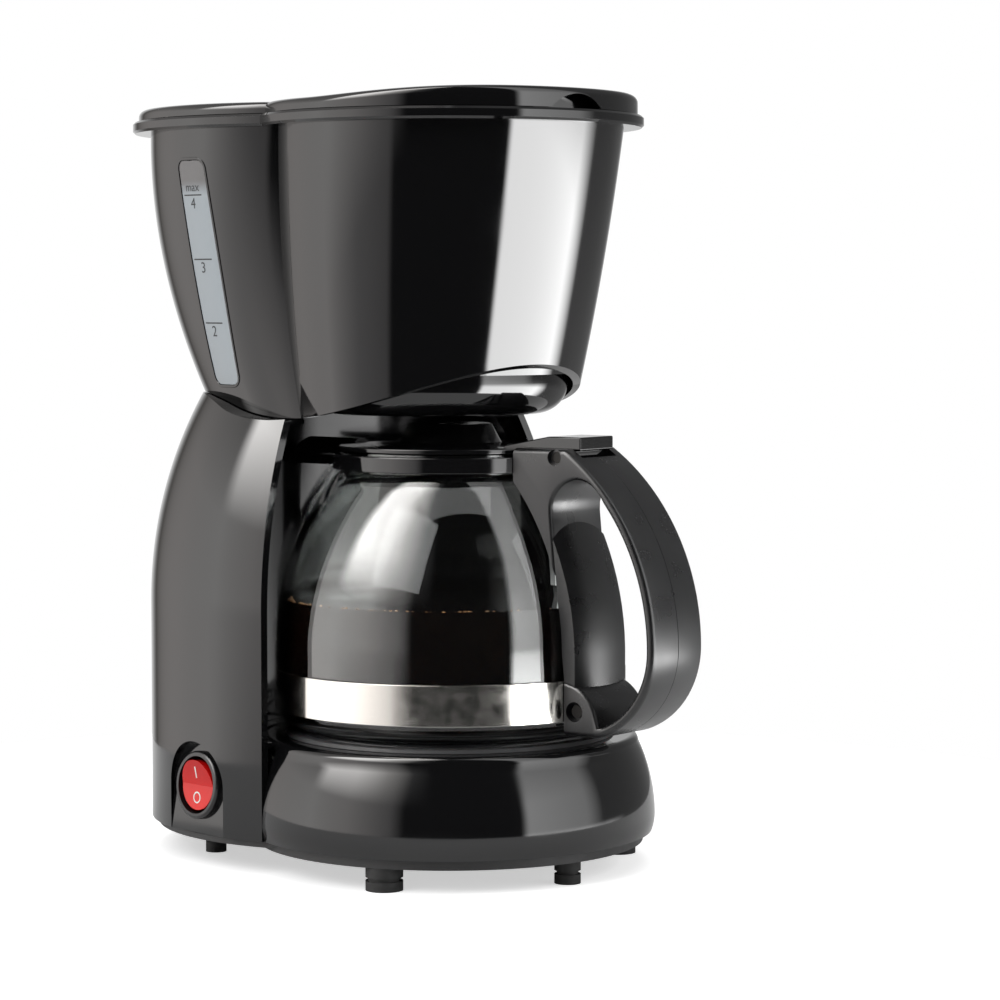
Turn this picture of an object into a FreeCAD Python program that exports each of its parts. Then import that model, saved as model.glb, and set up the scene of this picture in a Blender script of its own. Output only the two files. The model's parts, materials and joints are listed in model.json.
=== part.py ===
import FreeCAD, Part
import math
import os
import Sketcher
from FreeCAD import Placement, Rotation, Vector

# A four-cup drip coffee maker, in millimetres. +Z is up, the front is -Y, and the origin is on
# the floor under the middle of the whole machine. Plans are drawn about the brew axis, which
# stands at axis_y, and heights are counted from the floor.

DIMENSIONS = {
    # whole machine
    "axis_y": -23.53,
    "wall": 2.4,
    "seam_gap": 0.3,
    "pin_clearance": 0.05,
    # feet and base cover
    "foot_height": 8.0,
    "cover_thick": 3.2,
    "cover_radius": 66.2,
    "cover_rear_rise": 1.2,
    "side_foot_radius": 6.2,
    "side_foot_x": 53.0,
    "side_foot_y": -28.0,
    "front_foot_radius": 4.4,
    "front_foot_y": -59.0,
    "rear_foot_radius": 3.6,
    "rear_foot_x": 50.0,
    "rear_foot_y": 67.3,
    "foot_groove": 0.8,
    # round base drum
    "drum_radius": 70.3,
    "drum_foot_radius": 69.3,
    "drum_top_radius": 64.5,
    "drum_height": 33.0,
    "widest_rise": 5.5,
    "foot_curve": 16.0,
    "drum_curve": 60.0,
    "drum_edge": 2.5,
    "post_radius": 4.0,
    "post_circle": 59.0,
    "screw_radius": 1.5,
    "screw_head_radius": 3.4,
    "screw_head_height": 1.6,
    "screw_length": 14.0,
    # warming plate and heater
    "plate_radius": 51.5,
    "plate_rise": 2.5,
    "plate_sheet": 1.2,
    "plate_skirt": 4.5,
    "seal_width": 5.0,
    "seal_thick": 1.4,
    "heater_radius": 33.0,
    "heater_width": 13.0,
    "heater_height": 9.0,
    "heater_span": 250.0,
    "nipple_radius": 4.0,
    "nipple_length": 30.0,
    "bracket_width": 14.0,
    "bracket_sheet": 1.5,
    "thermostat_radius": 8.5,
    "thermostat_height": 7.0,
    "fuse_radius": 2.0,
    "fuse_length": 16.0,
    # column
    "column_radius": 74.2,
    "column_y": 47.5,
    "column_front": 17.8,
    "column_front_curve": 457.0,
    "flare_start": 75.5,
    "flare_radius": 152.0,
    "post_angle": 50.0,
    "panel_radius": 70.0,
    "panel_set_back": 1.5,
    "gland_height": 13.0,
    "gland_radius": 5.0,
    "gland_bore": 3.4,
    # switch
    "switch_y": 47.8,
    "switch_rise": 16.2,
    "switch_recess": 3.2,
    "switch_tilt": 5.2,
    "facet_radius": 14.8,
    "bezel_radius": 11.6,
    "bezel_height": 2.2,
    "barrel_radius": 10.6,
    "barrel_depth": 15.0,
    "terminal_length": 5.0,
    "cup_radius": 9.8,
    "cup_depth": 8.0,
    "rocker_radius": 8.5,
    "rocker_face": 1.2,
    "rocker_lift": 2.5,
    "rocker_pivot": 0.7,
    "rocker_depth": 4.5,
    # carafe
    "carafe_turn": 11.0,
    "seat_gap": 0.3,
    "jug_radius": 59.5,
    "jug_foot_radius": 50.5,
    "jug_wall_height": 29.0,
    "shoulder_radius": 89.0,
    "neck_radius": 39.5,
    "neck_height": 8.5,
    "neck_step": 2.0,
    "glass": 2.2,
    "punt_radius": 42.0,
    "punt_rise": 1.2,
    "band_sheet": 0.6,
    "band_height": 13.5,
    "band_rise": 6.6,
    "collar_height": 5.3,
    "collar_thick": 2.4,
    "spout_reach": 66.0,
    "spout_half_width": 6.5,
    "spout_wall": 1.8,
    "spout_side": 1.0,
    "spout_mouth_set_back": 10.0,
    "lid_disc": 2.6,
    "dome_radius": 17.7,
    "dome_top_radius": 14.2,
    "dome_height": 6.5,
    "dome_hole": 5.0,
    "handle_half_width": 14.5,
    "handle_reach": 94.2,
    "strap": 3.2,
    "web": 1.6,
    "grip_roof_reach": 9.4,
    "grip_roof_drop": 7.1,
    "grip_corner_drop": 14.0,
    "grip_inner_reach": 1.6,
    "grip_inner_drop": 17.3,
    "grip_foot_reach": 58.5,
    "grip_foot_rise": 17.5,
    "handle_top_rise": 2.5,
    "handle_bottom_rise": 2.2,
    "handle_waist_rise": 31.7,
    "hinge_reach": 54.6,
    "hinge_pin_radius": 1.9,
    "lever_half_width": 9.4,
    "lever_reach": 61.5,
    "lever_lip": 0.5,
    "lever_thick": 2.8,
    "handle_screw_radius": 2.1,
    "handle_screw_reach": 62.8,
    # gap between the carafe lid and the brew chamber
    "drip_gap": 3.3,
    "dish_drop": 1.6,
    # figure-8 tank housing
    "housing_height": 102.3,
    "mid_rise": 52.0,
    "front_top_radius": 59.6,
    "front_mid_radius": 55.3,
    "front_low_radius": 47.6,
    "front_mid_y": 4.5,
    "front_low_y": 9.2,
    "rear_top_radius": 63.5,
    "rear_mid_radius": 58.4,
    "rear_low_radius": 49.4,
    "rear_top_y": 64.0,
    "rear_mid_y": 65.0,
    "rear_low_y": 48.2,
    "waist_top_y": 26.0,
    "waist_mid_y": 30.0,
    "waist_low_y": 25.0,
    "waist_round": 3.0,
    "hem_y": 36.5,
    "hem_front_radius": 179.0,
    "hem_turn_y": 28.0,
    "hem_rear_run": 52.0,
    "hem_rear_rise": 8.0,
    "tank_floor_rise": 13.8,
    "chamber_floor_rise": 17.8,
    "partition_drop": 13.0,
    "rim_overhang": 6.3,
    "rim_thick": 4.0,
    "dish_radius": 46.2,
    "dish_round": 11.0,
    "outlet_hole": 12.5,
    # water level window
    "window_width": 13.0,
    "window_top_drop": 14.0,
    "window_bottom_rise": 14.5,
    "window_top_y": 64.0,
    "window_bottom_y": 57.0,
    "window_corner": 5.0,
    "window_gap": 0.15,
    # lid
    "lid_overhang": 4.2,
    "lid_gap": 0.3,
    "lid_height": 6.7,
    "lid_rear_height": 3.8,
    "lid_round": 2.6,
    "lid_rear_round": 1.6,
    "lid_sheet": 2.2,
    "scoop_half_width": 11.0,
    "scoop_height": 5.0,
    "scoop_depth": 7.0,
    "lid_pin_radius": 1.5,
    "knuckle_radius": 3.8,
    "knuckle_set_back": 4.7,
    "knuckle_rise": 2.0,
    "lug_half_width": 13.0,
    "ear_thick": 4.5,
    "spreader_radius": 40.0,
    "spreader_depth": 2.6,
    "spreader_hole": 2.2,
    "spreader_ring": 22.0,
    # filter basket and drip stop
    "basket_drop": 14.5,
    "basket_radius": 50.0,
    "basket_rim": 53.0,
    "basket_low_radius": 22.0,
    "basket_wall": 1.8,
    "outlet_radius": 11.0,
    "outlet_length": 13.0,
    "valve_stem": 3.2,
    "valve_head": 7.5,
    "valve_clearance": 0.4,
    "valve_tip_gap": 3.0,
    "valve_seal_thick": 1.4,
    # water path
    "hose_x": 24.0,
    "hose_gap": 1.5,
    "nozzle_length": 14.0,
    "hose_radius": 6.0,
    "hose_bore": 4.05,
    "hose_bend": 12.0,
    "clamp_thick": 1.2,
    "clamp_width": 6.0,
    "hose_headroom": 1.0,
    "spout_tube_radius": 3.6,
    "spout_tube_bore": 2.4,
    "spout_tube_bend": 12.0,
    "spout_tube_drop": 7.0,
    "ball_radius": 2.6,
}

doc = FreeCAD.newDocument("drip_coffee_maker")
sheet = doc.addObject("Spreadsheet::Sheet", "sizes")
for row, (name, number) in enumerate(DIMENSIONS.items(), 1):
    sheet.set(f"A{row}", name)
    sheet.set(f"B{row}", str(number))
    sheet.setAlias(f"B{row}", name)
doc.recompute()


class Size:
    """A length or angle as an expression on the sheet, together with its present value."""

    def __init__(self, text, value):
        self.text = text
        self.value = value

    def __add__(self, other):
        other = as_size(other)
        return Size(f"({self.text} + {other.text})", self.value + other.value)

    def __sub__(self, other):
        other = as_size(other)
        return Size(f"({self.text} - {other.text})", self.value - other.value)

    def __mul__(self, other):
        other = as_size(other)
        return Size(f"({self.text} * {other.text})", self.value * other.value)

    def __truediv__(self, other):
        other = as_size(other)
        return Size(f"({self.text} / {other.text})", self.value / other.value)

    def __radd__(self, other):
        return as_size(other) + self

    def __rsub__(self, other):
        return as_size(other) - self

    def __rmul__(self, other):
        return as_size(other) * self

    def __neg__(self):
        return Size(f"(0 - {self.text})", -self.value)


class Sizes:
    """The sheet's cells by name."""

    def __getattr__(self, name):
        return Size(f"sizes.{name}", float(sheet.get(name)))


def as_size(number):
    return number if isinstance(number, Size) else Size(repr(float(number)), float(number))


def root(size):
    return Size(f"sqrt({size.text})", math.sqrt(size.value))


def leg(hypotenuse, side):
    return root(hypotenuse * hypotenuse - side * side)


def sag(radius, height):
    # how far an arc that starts upright has leaned over at this height
    return radius - leg(radius, height)


s = Sizes()


def bind(thing, prop, size):
    thing.setExpression(prop, as_size(size).text)


def place(thing, height=None, turned=False):
    # brings a plan drawn about the brew axis to its place
    turn = s.carafe_turn.value if turned else 0.0
    base = Vector(0, s.axis_y.value, as_size(height or 0.0).value)
    thing.Placement = Placement(base, Rotation(Vector(0, 0, 1), turn))
    bind(thing, "Placement.Base.y", s.axis_y)
    if height is not None:
        bind(thing, "Placement.Base.z", height)
    if turned:
        thing.setExpression("Placement.Rotation.Angle", f"{s.carafe_turn.text} * 1 deg")


class Round:
    """A full circle in a sketch."""

    def __init__(self, x, y, radius):
        self.x, self.y, self.radius = as_size(x), as_size(y), as_size(radius)


def fix_point(sketch, edge, end, x, y):
    for kind, size in (("DistanceX", as_size(x)), ("DistanceY", as_size(y))):
        index = sketch.addConstraint(Sketcher.Constraint(kind, -1, 1, edge, end, size.value))
        sketch.setExpression(f"Constraints[{index}]", size.text)


def draw_circle(sketch, circle):
    centre = Vector(circle.x.value, circle.y.value, 0)
    edge = sketch.addGeometry(Part.Circle(centre, Vector(0, 0, 1), circle.radius.value))
    fix_point(sketch, edge, 3, circle.x, circle.y)
    index = sketch.addConstraint(Sketcher.Constraint("Radius", edge, circle.radius.value))
    sketch.setExpression(f"Constraints[{index}]", circle.radius.text)


def arc_between(start, end, radius):
    # a minor arc, left-handed for a positive radius
    along = end - start
    half = along.Length / 2
    normal = Vector(-along.y, along.x, 0).normalize()
    rise = math.sqrt(max(radius * radius - half * half, 0.0))
    centre = (start + end) * 0.5 + normal * (rise if radius > 0 else -rise)
    first, last = (start, end) if radius > 0 else (end, start)
    angles = [math.atan2(p.y - centre.y, p.x - centre.x) for p in (first, last)]
    if angles[1] <= angles[0]:
        angles[1] += 2 * math.pi
    return Part.ArcOfCircle(Part.Circle(centre, Vector(0, 0, 1), abs(radius)), *angles)


def draw_outline(sketch, corners, closed=True):
    # each corner is (x, y), or (x, y, radius) where the edge that arrives at it is an arc
    corners = [tuple(as_size(c) for c in corner) for corner in corners]
    spots = [Vector(c[0].value, c[1].value, 0) for c in corners]
    starts = range(len(corners)) if closed else range(len(corners) - 1)
    ends = []
    for i in starts:
        j = (i + 1) % len(corners)
        radius = corners[j][2] if len(corners[j]) > 2 else None
        if radius is None:
            edge = sketch.addGeometry(Part.LineSegment(spots[i], spots[j]))
            ends.append((edge, 1, 2))
            continue
        edge = sketch.addGeometry(arc_between(spots[i], spots[j], radius.value))
        ends.append((edge, 1, 2) if radius.value > 0 else (edge, 2, 1))
        index = sketch.addConstraint(Sketcher.Constraint("Radius", edge, abs(radius.value)))
        sketch.setExpression(f"Constraints[{index}]", f"abs({radius.text})")
    for i, (edge, first, last) in enumerate(ends):
        fix_point(sketch, edge, first, corners[i][0], corners[i][1])
        if i + 1 < len(ends) or closed:
            after, after_first, _ = ends[(i + 1) % len(ends)]
            sketch.addConstraint(Sketcher.Constraint("Coincident", edge, last, after, after_first))
    if not closed:
        edge, _, last = ends[-1]
        fix_point(sketch, edge, last, corners[-1][0], corners[-1][1])


def draw(sketch, loops):
    for loop in loops:
        if isinstance(loop, Round):
            draw_circle(sketch, loop)
        else:
            draw_outline(sketch, loop)


class Piece:
    """A PartDesign body, built from features on its own origin planes."""

    def __init__(self, label, turned=False):
        self.body = doc.addObject("PartDesign::Body", label)
        self.body.Label = label
        place(self.body, turned=turned)

    def sketch(self, plane, loops, offset=0.0):
        sketch = self.body.newObject("Sketcher::SketchObject", f"{self.body.Name}_sketch")
        support = [f for f in self.body.Origin.OriginFeatures if f.Role == plane][0]
        sketch.AttachmentSupport = [(support, "")]
        sketch.MapMode = "FlatFace"
        offset = as_size(offset)
        sketch.AttachmentOffset = Placement(Vector(0, 0, offset.value), Rotation())
        bind(sketch, "AttachmentOffset.Base.z", offset)
        draw(sketch, loops)
        return sketch

    def feature(self, kind, profile):
        feature = self.body.newObject(f"PartDesign::{kind}", f"{self.body.Name}_{kind.lower()}")
        feature.Profile = profile
        return feature

    def turn(self, kind, loops, about_y, angle):
        sketch = self.sketch("XZ_Plane", loops, -as_size(about_y))
        feature = self.feature(kind, sketch)
        feature.ReferenceAxis = (sketch, ["V_Axis"])
        if angle is None:
            feature.Angle = 360.0
        else:
            feature.Midplane = True
            bind(feature, "Angle", angle)
        return self

    def revolve(self, *loops, about_y=0.0, angle=None):
        # profiles of radius and height, turned about the upright at about_y
        return self.turn("Revolution", loops, about_y, angle)

    def groove(self, *loops, about_y=0.0):
        return self.turn("Groove", loops, about_y, None)

    def extrude(self, kind, plane, loops, low, high):
        # runs from low to high along the plane's axis, whichever way the plane faces
        low, high = as_size(low), as_size(high)
        flipped = plane == "XZ_Plane"
        adds = kind == "Pad"
        offset = low if adds != flipped else high
        sketch = self.sketch(plane, loops, -offset if flipped else offset)
        feature = self.feature(kind, sketch)
        bind(feature, "Length", high - low)
        return self

    def pad(self, plane, *loops, low, high):
        return self.extrude("Pad", plane, loops, low, high)

    def pocket(self, plane, *loops, low, high):
        return self.extrude("Pocket", plane, loops, low, high)

    def fillet(self, radius, chosen):
        # rounds every edge that the test picks
        doc.recompute()
        before = self.body.Tip
        names = [f"Edge{i}" for i, edge in enumerate(before.Shape.Edges, 1) if chosen(edge)]
        feature = self.body.newObject("PartDesign::Fillet", f"{self.body.Name}_fillet")
        feature.Base = (before, names)
        bind(feature, "Radius", radius)
        return self


def section(label, height, loop):
    # one level of a loft, drawn in plan
    sketch = doc.addObject("Sketcher::SketchObject", label)
    place(sketch, height=height)
    draw(sketch, [loop])
    return sketch


def loft(label, sections):
    body = doc.addObject("Part::Loft", label)
    body.Sections = sections
    body.Solid = True
    return body


def combine(kind, label, base, tool):
    result = doc.addObject(f"Part::{kind}", label)
    result.Base = base
    result.Tool = tool
    return result


def cut(label, base, *tools):
    for tool in tools:
        base = combine("Cut", label, base, tool)
    return base


def fuse(label, *pieces):
    result = doc.addObject("Part::MultiFuse", label)
    result.Shapes = list(pieces)
    return result


def common(label, base, tool):
    return combine("Common", label, base, tool)


def group(label, *pieces):
    result = doc.addObject("Part::Compound", label)
    result.Links = list(pieces)
    return result


def mirrored(label, source):
    result = doc.addObject("Part::Mirroring", label)
    result.Source = source
    result.Normal = Vector(1, 0, 0)
    return result


def block(label, x, y, z):
    # a box between pairs of plan and height values about the brew axis
    box = doc.addObject("Part::Box", label)
    for prop, (low, high) in (("Length", x), ("Width", y), ("Height", z)):
        bind(box, prop, as_size(high) - low)
    y_low = s.axis_y + y[0]
    box.Placement = Placement(Vector(as_size(x[0]).value, y_low.value, as_size(z[0]).value), Rotation())
    bind(box, "Placement.Base.x", x[0])
    bind(box, "Placement.Base.y", y_low)
    bind(box, "Placement.Base.z", z[0])
    return box


nodes = {}


def node(thing, label):
    thing = thing.body if isinstance(thing, Piece) else thing
    thing.Label = label
    nodes[label] = thing
    return thing


# heights, from the floor up
cover_top = s.foot_height + s.cover_thick
shell_bottom = cover_top + s.seam_gap
deck = shell_bottom + s.drum_height
plate_top = deck + s.plate_rise
jug_bottom = plate_top + s.seat_gap
jug_shoulder = jug_bottom + s.jug_wall_height
neck_start = jug_shoulder + leg(s.shoulder_radius, s.shoulder_radius - s.jug_radius + s.neck_radius)
jug_top = neck_start + s.neck_height
jug_lid_bottom = jug_top + s.seat_gap
jug_lid_top = jug_lid_bottom + s.lid_disc
carafe_top = jug_lid_top + s.dome_height
dish_bottom = carafe_top + s.drip_gap
hem = dish_bottom - s.dish_drop
rim_top = hem + s.housing_height
rim_bottom = rim_top - s.rim_thick
tank_floor = hem + s.tank_floor_rise
chamber_floor = hem + s.chamber_floor_rise
partition_top = rim_top - s.partition_drop
lid_bottom = rim_top + s.lid_gap
lid_top = lid_bottom + s.lid_height
flare_start = shell_bottom + s.flare_start
column_back = s.column_y + s.column_radius
hose_y = leg(s.panel_radius + s.wall, s.hose_x) + s.hose_radius + s.clamp_thick + s.hose_gap
far = 150.0


def base_shell():
    hole = s.plate_radius + s.seal_width / 2
    widest = shell_bottom + s.widest_rise
    drum = Piece("base_shell")
    drum.revolve([
        (s.drum_foot_radius, shell_bottom),
        (s.drum_radius, widest, s.foot_curve),
        (s.drum_top_radius, deck - s.drum_edge, s.drum_curve),
        (s.drum_top_radius - s.drum_edge, deck, s.drum_edge),
        (hole, deck),
        (hole, deck - s.wall),
        (s.drum_top_radius - s.wall, deck - s.wall),
        (s.drum_radius - s.wall, widest, -(s.drum_curve - s.wall)),
        (s.drum_foot_radius - s.wall, shell_bottom, -(s.foot_curve - s.wall)),
    ])
    # below the deck the drum stops where the column's sides begin
    back = s.column_front - s.seam_gap
    drum.pocket("XY_Plane", [(-far, back), (far, back), (far, far), (-far, far)],
                low=0.0, high=deck - s.wall)
    posts = [Round(x, y, s.post_radius) for x, y in front_posts()]
    drum.pad("XY_Plane", *posts, low=shell_bottom, high=deck - s.wall / 2)
    bores = [Round(x, y, s.screw_radius + s.pin_clearance) for x, y in front_posts()]
    drum.pocket("XY_Plane", *bores, low=shell_bottom, high=shell_bottom + s.screw_length)
    return node(drum, "base_shell")


def front_posts():
    across = s.post_circle * 0.7
    ahead = leg(s.post_circle, across)
    return [(across, -ahead), (-across, -ahead)]


def rear_posts():
    # stand against the column's round wall, on either side of the back
    reach = s.column_radius - s.wall - s.post_radius * 0.75
    angle = f"{s.post_angle.text} * 1 deg"
    x = reach * Size(f"sin({angle})", math.sin(math.radians(s.post_angle.value)))
    y = s.column_y + reach * Size(f"cos({angle})", math.cos(math.radians(s.post_angle.value)))
    return [(x, y), (-x, y)]


def base_cover():
    cover = Piece("base_cover")
    cover.pad("XY_Plane", Round(0, 0, s.cover_radius), low=s.foot_height, high=cover_top)
    cover.pad("XY_Plane", Round(0, s.column_y, s.column_radius - s.wall),
              low=s.foot_height + s.cover_rear_rise, high=cover_top)
    spots = front_posts() + rear_posts()
    holes = [Round(x, y, s.screw_radius + s.pin_clearance) for x, y in spots]
    cover.pocket("XY_Plane", *holes, low=0.0, high=cover_top)
    sinks = [Round(x, y, s.screw_head_radius + s.pin_clearance) for x, y in spots]
    sink_top = s.foot_height + s.cover_rear_rise + s.screw_head_height / 2
    cover.pocket("XY_Plane", *sinks, low=0.0, high=sink_top)
    return node(cover, "base_cover")


def base_screws():
    sink_top = s.foot_height + s.cover_rear_rise + s.screw_head_height / 2
    screws = []
    for i, (x, y) in enumerate(front_posts() + rear_posts()):
        screw = Piece(f"base_screw_{i}")
        screw.pad("XY_Plane", Round(x, y, s.screw_radius), low=sink_top - s.screw_head_height / 2,
                  high=shell_bottom + s.screw_length - 1.0)
        screw.pad("XY_Plane", Round(x, y, s.screw_head_radius),
                  low=sink_top - s.screw_head_height, high=sink_top)
        screws.append(screw.body)
    return node(group("base_screws", *screws), "base_screws")


def foot(label, x, y, radius, top):
    # a rubber stud with a turned groove
    stud = Piece(label)
    ring = radius - s.foot_groove
    stud.pad("XY_Plane", Round(x, y, radius), low=0.0, high=top * 0.4)
    stud.pad("XY_Plane", Round(x, y, ring), low=top * 0.4, high=top * 0.55)
    stud.pad("XY_Plane", Round(x, y, radius), low=top * 0.55, high=top)
    return stud.body


def feet():
    low = s.foot_height
    high = s.foot_height + s.cover_rear_rise
    side = foot("side_foot", s.side_foot_x, s.side_foot_y, s.side_foot_radius, low)
    node(group("side_feet", side, mirrored("side_foot_left", side)), "side_feet")
    node(foot("front_foot", 0.0, s.front_foot_y, s.front_foot_radius, low), "front_foot")
    rear = foot("rear_foot", s.rear_foot_x, s.rear_foot_y, s.rear_foot_radius, high)
    node(group("rear_feet", rear, mirrored("rear_foot_left", rear)), "rear_feet")


def warming_plate():
    plate = Piece("warming_plate")
    edge = s.plate_sheet * 1.5
    plate.revolve([
        (0, plate_top - s.plate_sheet),
        (s.plate_radius - s.plate_sheet, plate_top - s.plate_sheet),
        (s.plate_radius - s.plate_sheet, plate_top - s.plate_skirt),
        (s.plate_radius, plate_top - s.plate_skirt),
        (s.plate_radius, plate_top - edge),
        (s.plate_radius - edge, plate_top, edge),
        (0, plate_top),
    ])
    return node(plate, "warming_plate")


def plate_seal():
    inner = s.plate_radius + s.pin_clearance
    hole = s.plate_radius + s.seal_width / 2 - s.pin_clearance
    seal = Piece("plate_seal")
    seal.revolve([
        (inner, deck - s.wall),
        (hole, deck - s.wall),
        (hole, deck),
        (s.plate_radius + s.seal_width, deck),
        (s.plate_radius + s.seal_width - s.seal_thick / 2, deck + s.seal_thick),
        (inner, deck + s.seal_thick),
    ])
    return node(seal, "plate_seal")


heater_top = plate_top - s.plate_sheet
heater_low = heater_top - s.heater_height
hose_level = deck - s.wall - s.hose_headroom - s.clamp_thick - s.hose_radius


def heater_block():
    # a cast horseshoe with a water tube under each end, pointing to the back
    half = s.heater_width / 2
    heater = Piece("heater_horseshoe")
    heater.revolve([
        (s.heater_radius - half, heater_low),
        (s.heater_radius + half, heater_low),
        (s.heater_radius + half, heater_top),
        (s.heater_radius - half, heater_top),
    ], angle=s.heater_span)
    turned = heater.body
    turned.Placement = Placement(turned.Placement.Base, Rotation(Vector(0, 0, 1), -90.0))
    tubes = Piece("heater_tubes")
    ends = [Round(x, hose_level, s.nipple_radius) for x in (s.hose_x, -s.hose_x)]
    bores = [Round(x, hose_level, s.spout_tube_bore) for x in (s.hose_x, -s.hose_x)]
    for end, bore in zip(ends, bores):
        tubes.pad("XZ_Plane", end, low=s.bracket_width / 2 + 1.0, high=nipple_end)
        tubes.pocket("XZ_Plane", bore, low=nipple_end - s.nipple_length, high=nipple_end)
    return node(fuse("heater_block", turned, tubes.body), "heater_block")


nipple_end = hose_y - s.hose_bend - 2.0


def heater_fittings():
    strap_top = heater_low
    strap_low = strap_top - s.bracket_sheet
    reach = s.heater_radius + s.heater_width / 2
    bracket = Piece("heater_bracket")
    half = s.bracket_width / 2
    bracket.pad("XY_Plane", [(-reach, -half), (reach, -half), (reach, half), (-reach, half)],
                low=strap_low, high=strap_top)
    bracket.pocket("XY_Plane", Round(0, 0, s.screw_radius + s.pin_clearance),
                   low=strap_low, high=strap_top)
    node(bracket, "heater_bracket")
    screw = Piece("heater_screw")
    screw.pad("XY_Plane", Round(0, 0, s.screw_radius),
              low=strap_low - s.screw_head_height / 2, high=heater_top)
    screw.pad("XY_Plane", Round(0, 0, s.screw_head_radius),
              low=strap_low - s.screw_head_height, high=strap_low)
    node(screw, "heater_screw")
    can = Piece("thermostat")
    low = heater_low - s.thermostat_height
    can.pad("XY_Plane", Round(0, -s.heater_radius, s.thermostat_radius), low=low, high=heater_low)
    tabs = [[(x - 1.5, -s.heater_radius - 3.0), (x + 1.5, -s.heater_radius - 3.0),
             (x + 1.5, -s.heater_radius + 3.0), (x - 1.5, -s.heater_radius + 3.0)] for x in (-4.5, 4.5)]
    can.pad("XY_Plane", *tabs, low=low - 5.0, high=low)
    node(can, "thermostat")
    fuse_link = Piece("thermal_fuse")
    fuse_link.pad("YZ_Plane", Round(-s.heater_radius * 0.8, heater_low - s.fuse_radius * 2, s.fuse_radius),
                  low=s.thermostat_radius + 3.0, high=s.thermostat_radius + 3.0 + s.fuse_length)
    return node(fuse_link, "thermal_fuse")


def hem_arcs(shift):
    # the housing's curved lower edge in side view, from front to back, with a step up behind
    z = hem - shift
    front = s.hem_y - far
    turn_z = z + sag(s.hem_front_radius, s.hem_y - s.hem_turn_y)
    run = s.hem_rear_run / 2
    rise = s.hem_rear_rise / 2
    bend = (run * run + rise * rise) / (2 * rise)
    return [
        (front, z + sag(s.hem_front_radius, far)),
        (s.hem_turn_y, turn_z, s.hem_front_radius),
        (s.hem_turn_y + run, turn_z + rise, bend),
        (s.hem_turn_y + 2 * run, turn_z + 2 * rise, -bend),
        (s.hem_y + far, turn_z + 2 * rise),
    ]


column_end = hem + 10.0


def column_solid(label, inset, front, bottom, hem_shift=None):
    # the column as a turned solid that draws in under the housing, cut away in front
    radius = s.column_radius - inset
    flare = s.flare_radius - inset
    lean = sag(flare, column_end - flare_start)
    solid = Piece(label)
    solid.revolve([
        (0, bottom),
        (radius, bottom),
        (radius, flare_start),
        (radius - lean, column_end, flare),
        (0, column_end),
    ], about_y=s.column_y)
    back_lean = sag(s.column_front_curve, column_end - flare_start)
    solid.pocket("YZ_Plane", [
        (front, -10.0),
        (front, flare_start),
        (front + back_lean, column_end, -s.column_front_curve),
        (front + back_lean, column_end + 5.0),
        (-far, column_end + 5.0),
        (-far, -10.0),
    ], low=-far, high=far)
    if hem_shift is not None:
        rise = [(s.hem_y + far, hem + far), (s.hem_y - far, hem + far)]
        solid.pocket("YZ_Plane", hem_arcs(hem_shift) + rise, low=-far, high=far)
    return solid


def column_shell():
    outer = column_solid("column_outside", as_size(0.0), s.column_front, shell_bottom, s.seam_gap)
    inner = column_solid("column_inside", s.wall, s.column_front - 5.0, as_size(-5.0))
    boss_half = s.facet_radius + s.wall
    boss = block("switch_boss", (-far, s.switch_recess + 2 * s.wall - s.column_radius),
                 (s.switch_y - boss_half, s.switch_y + boss_half),
                 (0.0, shell_bottom + s.switch_rise + boss_half))
    hollow = cut("column_hollow", inner.body, boss)
    shell = cut("column_walls", outer.body, hollow)
    posts = []
    for i, (x, y) in enumerate(rear_posts()):
        post = Piece(f"column_post_{i}")
        post.pad("XY_Plane", Round(x, y, s.post_radius),
                 low=shell_bottom, high=shell_bottom + 2 * s.screw_length)
        post.pocket("XY_Plane", Round(x, y, s.screw_radius + s.pin_clearance), low=shell_bottom,
                    high=shell_bottom + s.screw_length)
        posts.append(post.body)
    drilled = fuse("column_with_posts", shell, *posts)
    facet = switch_piece("switch_facet")
    drop = s.switch_rise + 5.0
    facet.pad("XY_Plane", [
        (-drop, -s.facet_radius),
        (0.0, -s.facet_radius),
        (s.facet_radius, 0.0, s.facet_radius),
        (0.0, s.facet_radius, s.facet_radius),
        (-drop, s.facet_radius),
    ], low=0.0, high=12.0)
    seat = switch_piece("switch_seat")
    seat.pad("XY_Plane", Round(0, 0, s.barrel_radius + s.pin_clearance), low=-30.0, high=5.0)
    gland = Piece("gland_hole")
    gland.pad("XZ_Plane", Round(0, gland_z, s.gland_radius + s.pin_clearance), low=column_back - 10.0,
              high=column_back + 10.0)
    return node(cut("column_shell", drilled, facet.body, seat.body, gland.body), "column_shell")


gland_z = shell_bottom + s.gland_height


def switch_piece(label):
    # the switch's own frame: Z out of the sloping facet, X up it, Y along the machine
    piece = Piece(label)
    x = -(s.column_radius - s.switch_recess)
    y = s.axis_y + s.switch_y
    z = shell_bottom + s.switch_rise
    piece.body.Placement = Placement(Vector(x.value, y.value, z.value),
                                     Rotation(Vector(0, 1, 0), s.switch_tilt.value - 90.0))
    bind(piece.body, "Placement.Base.x", x)
    bind(piece.body, "Placement.Base.y", y)
    bind(piece.body, "Placement.Base.z", z)
    return piece


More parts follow.
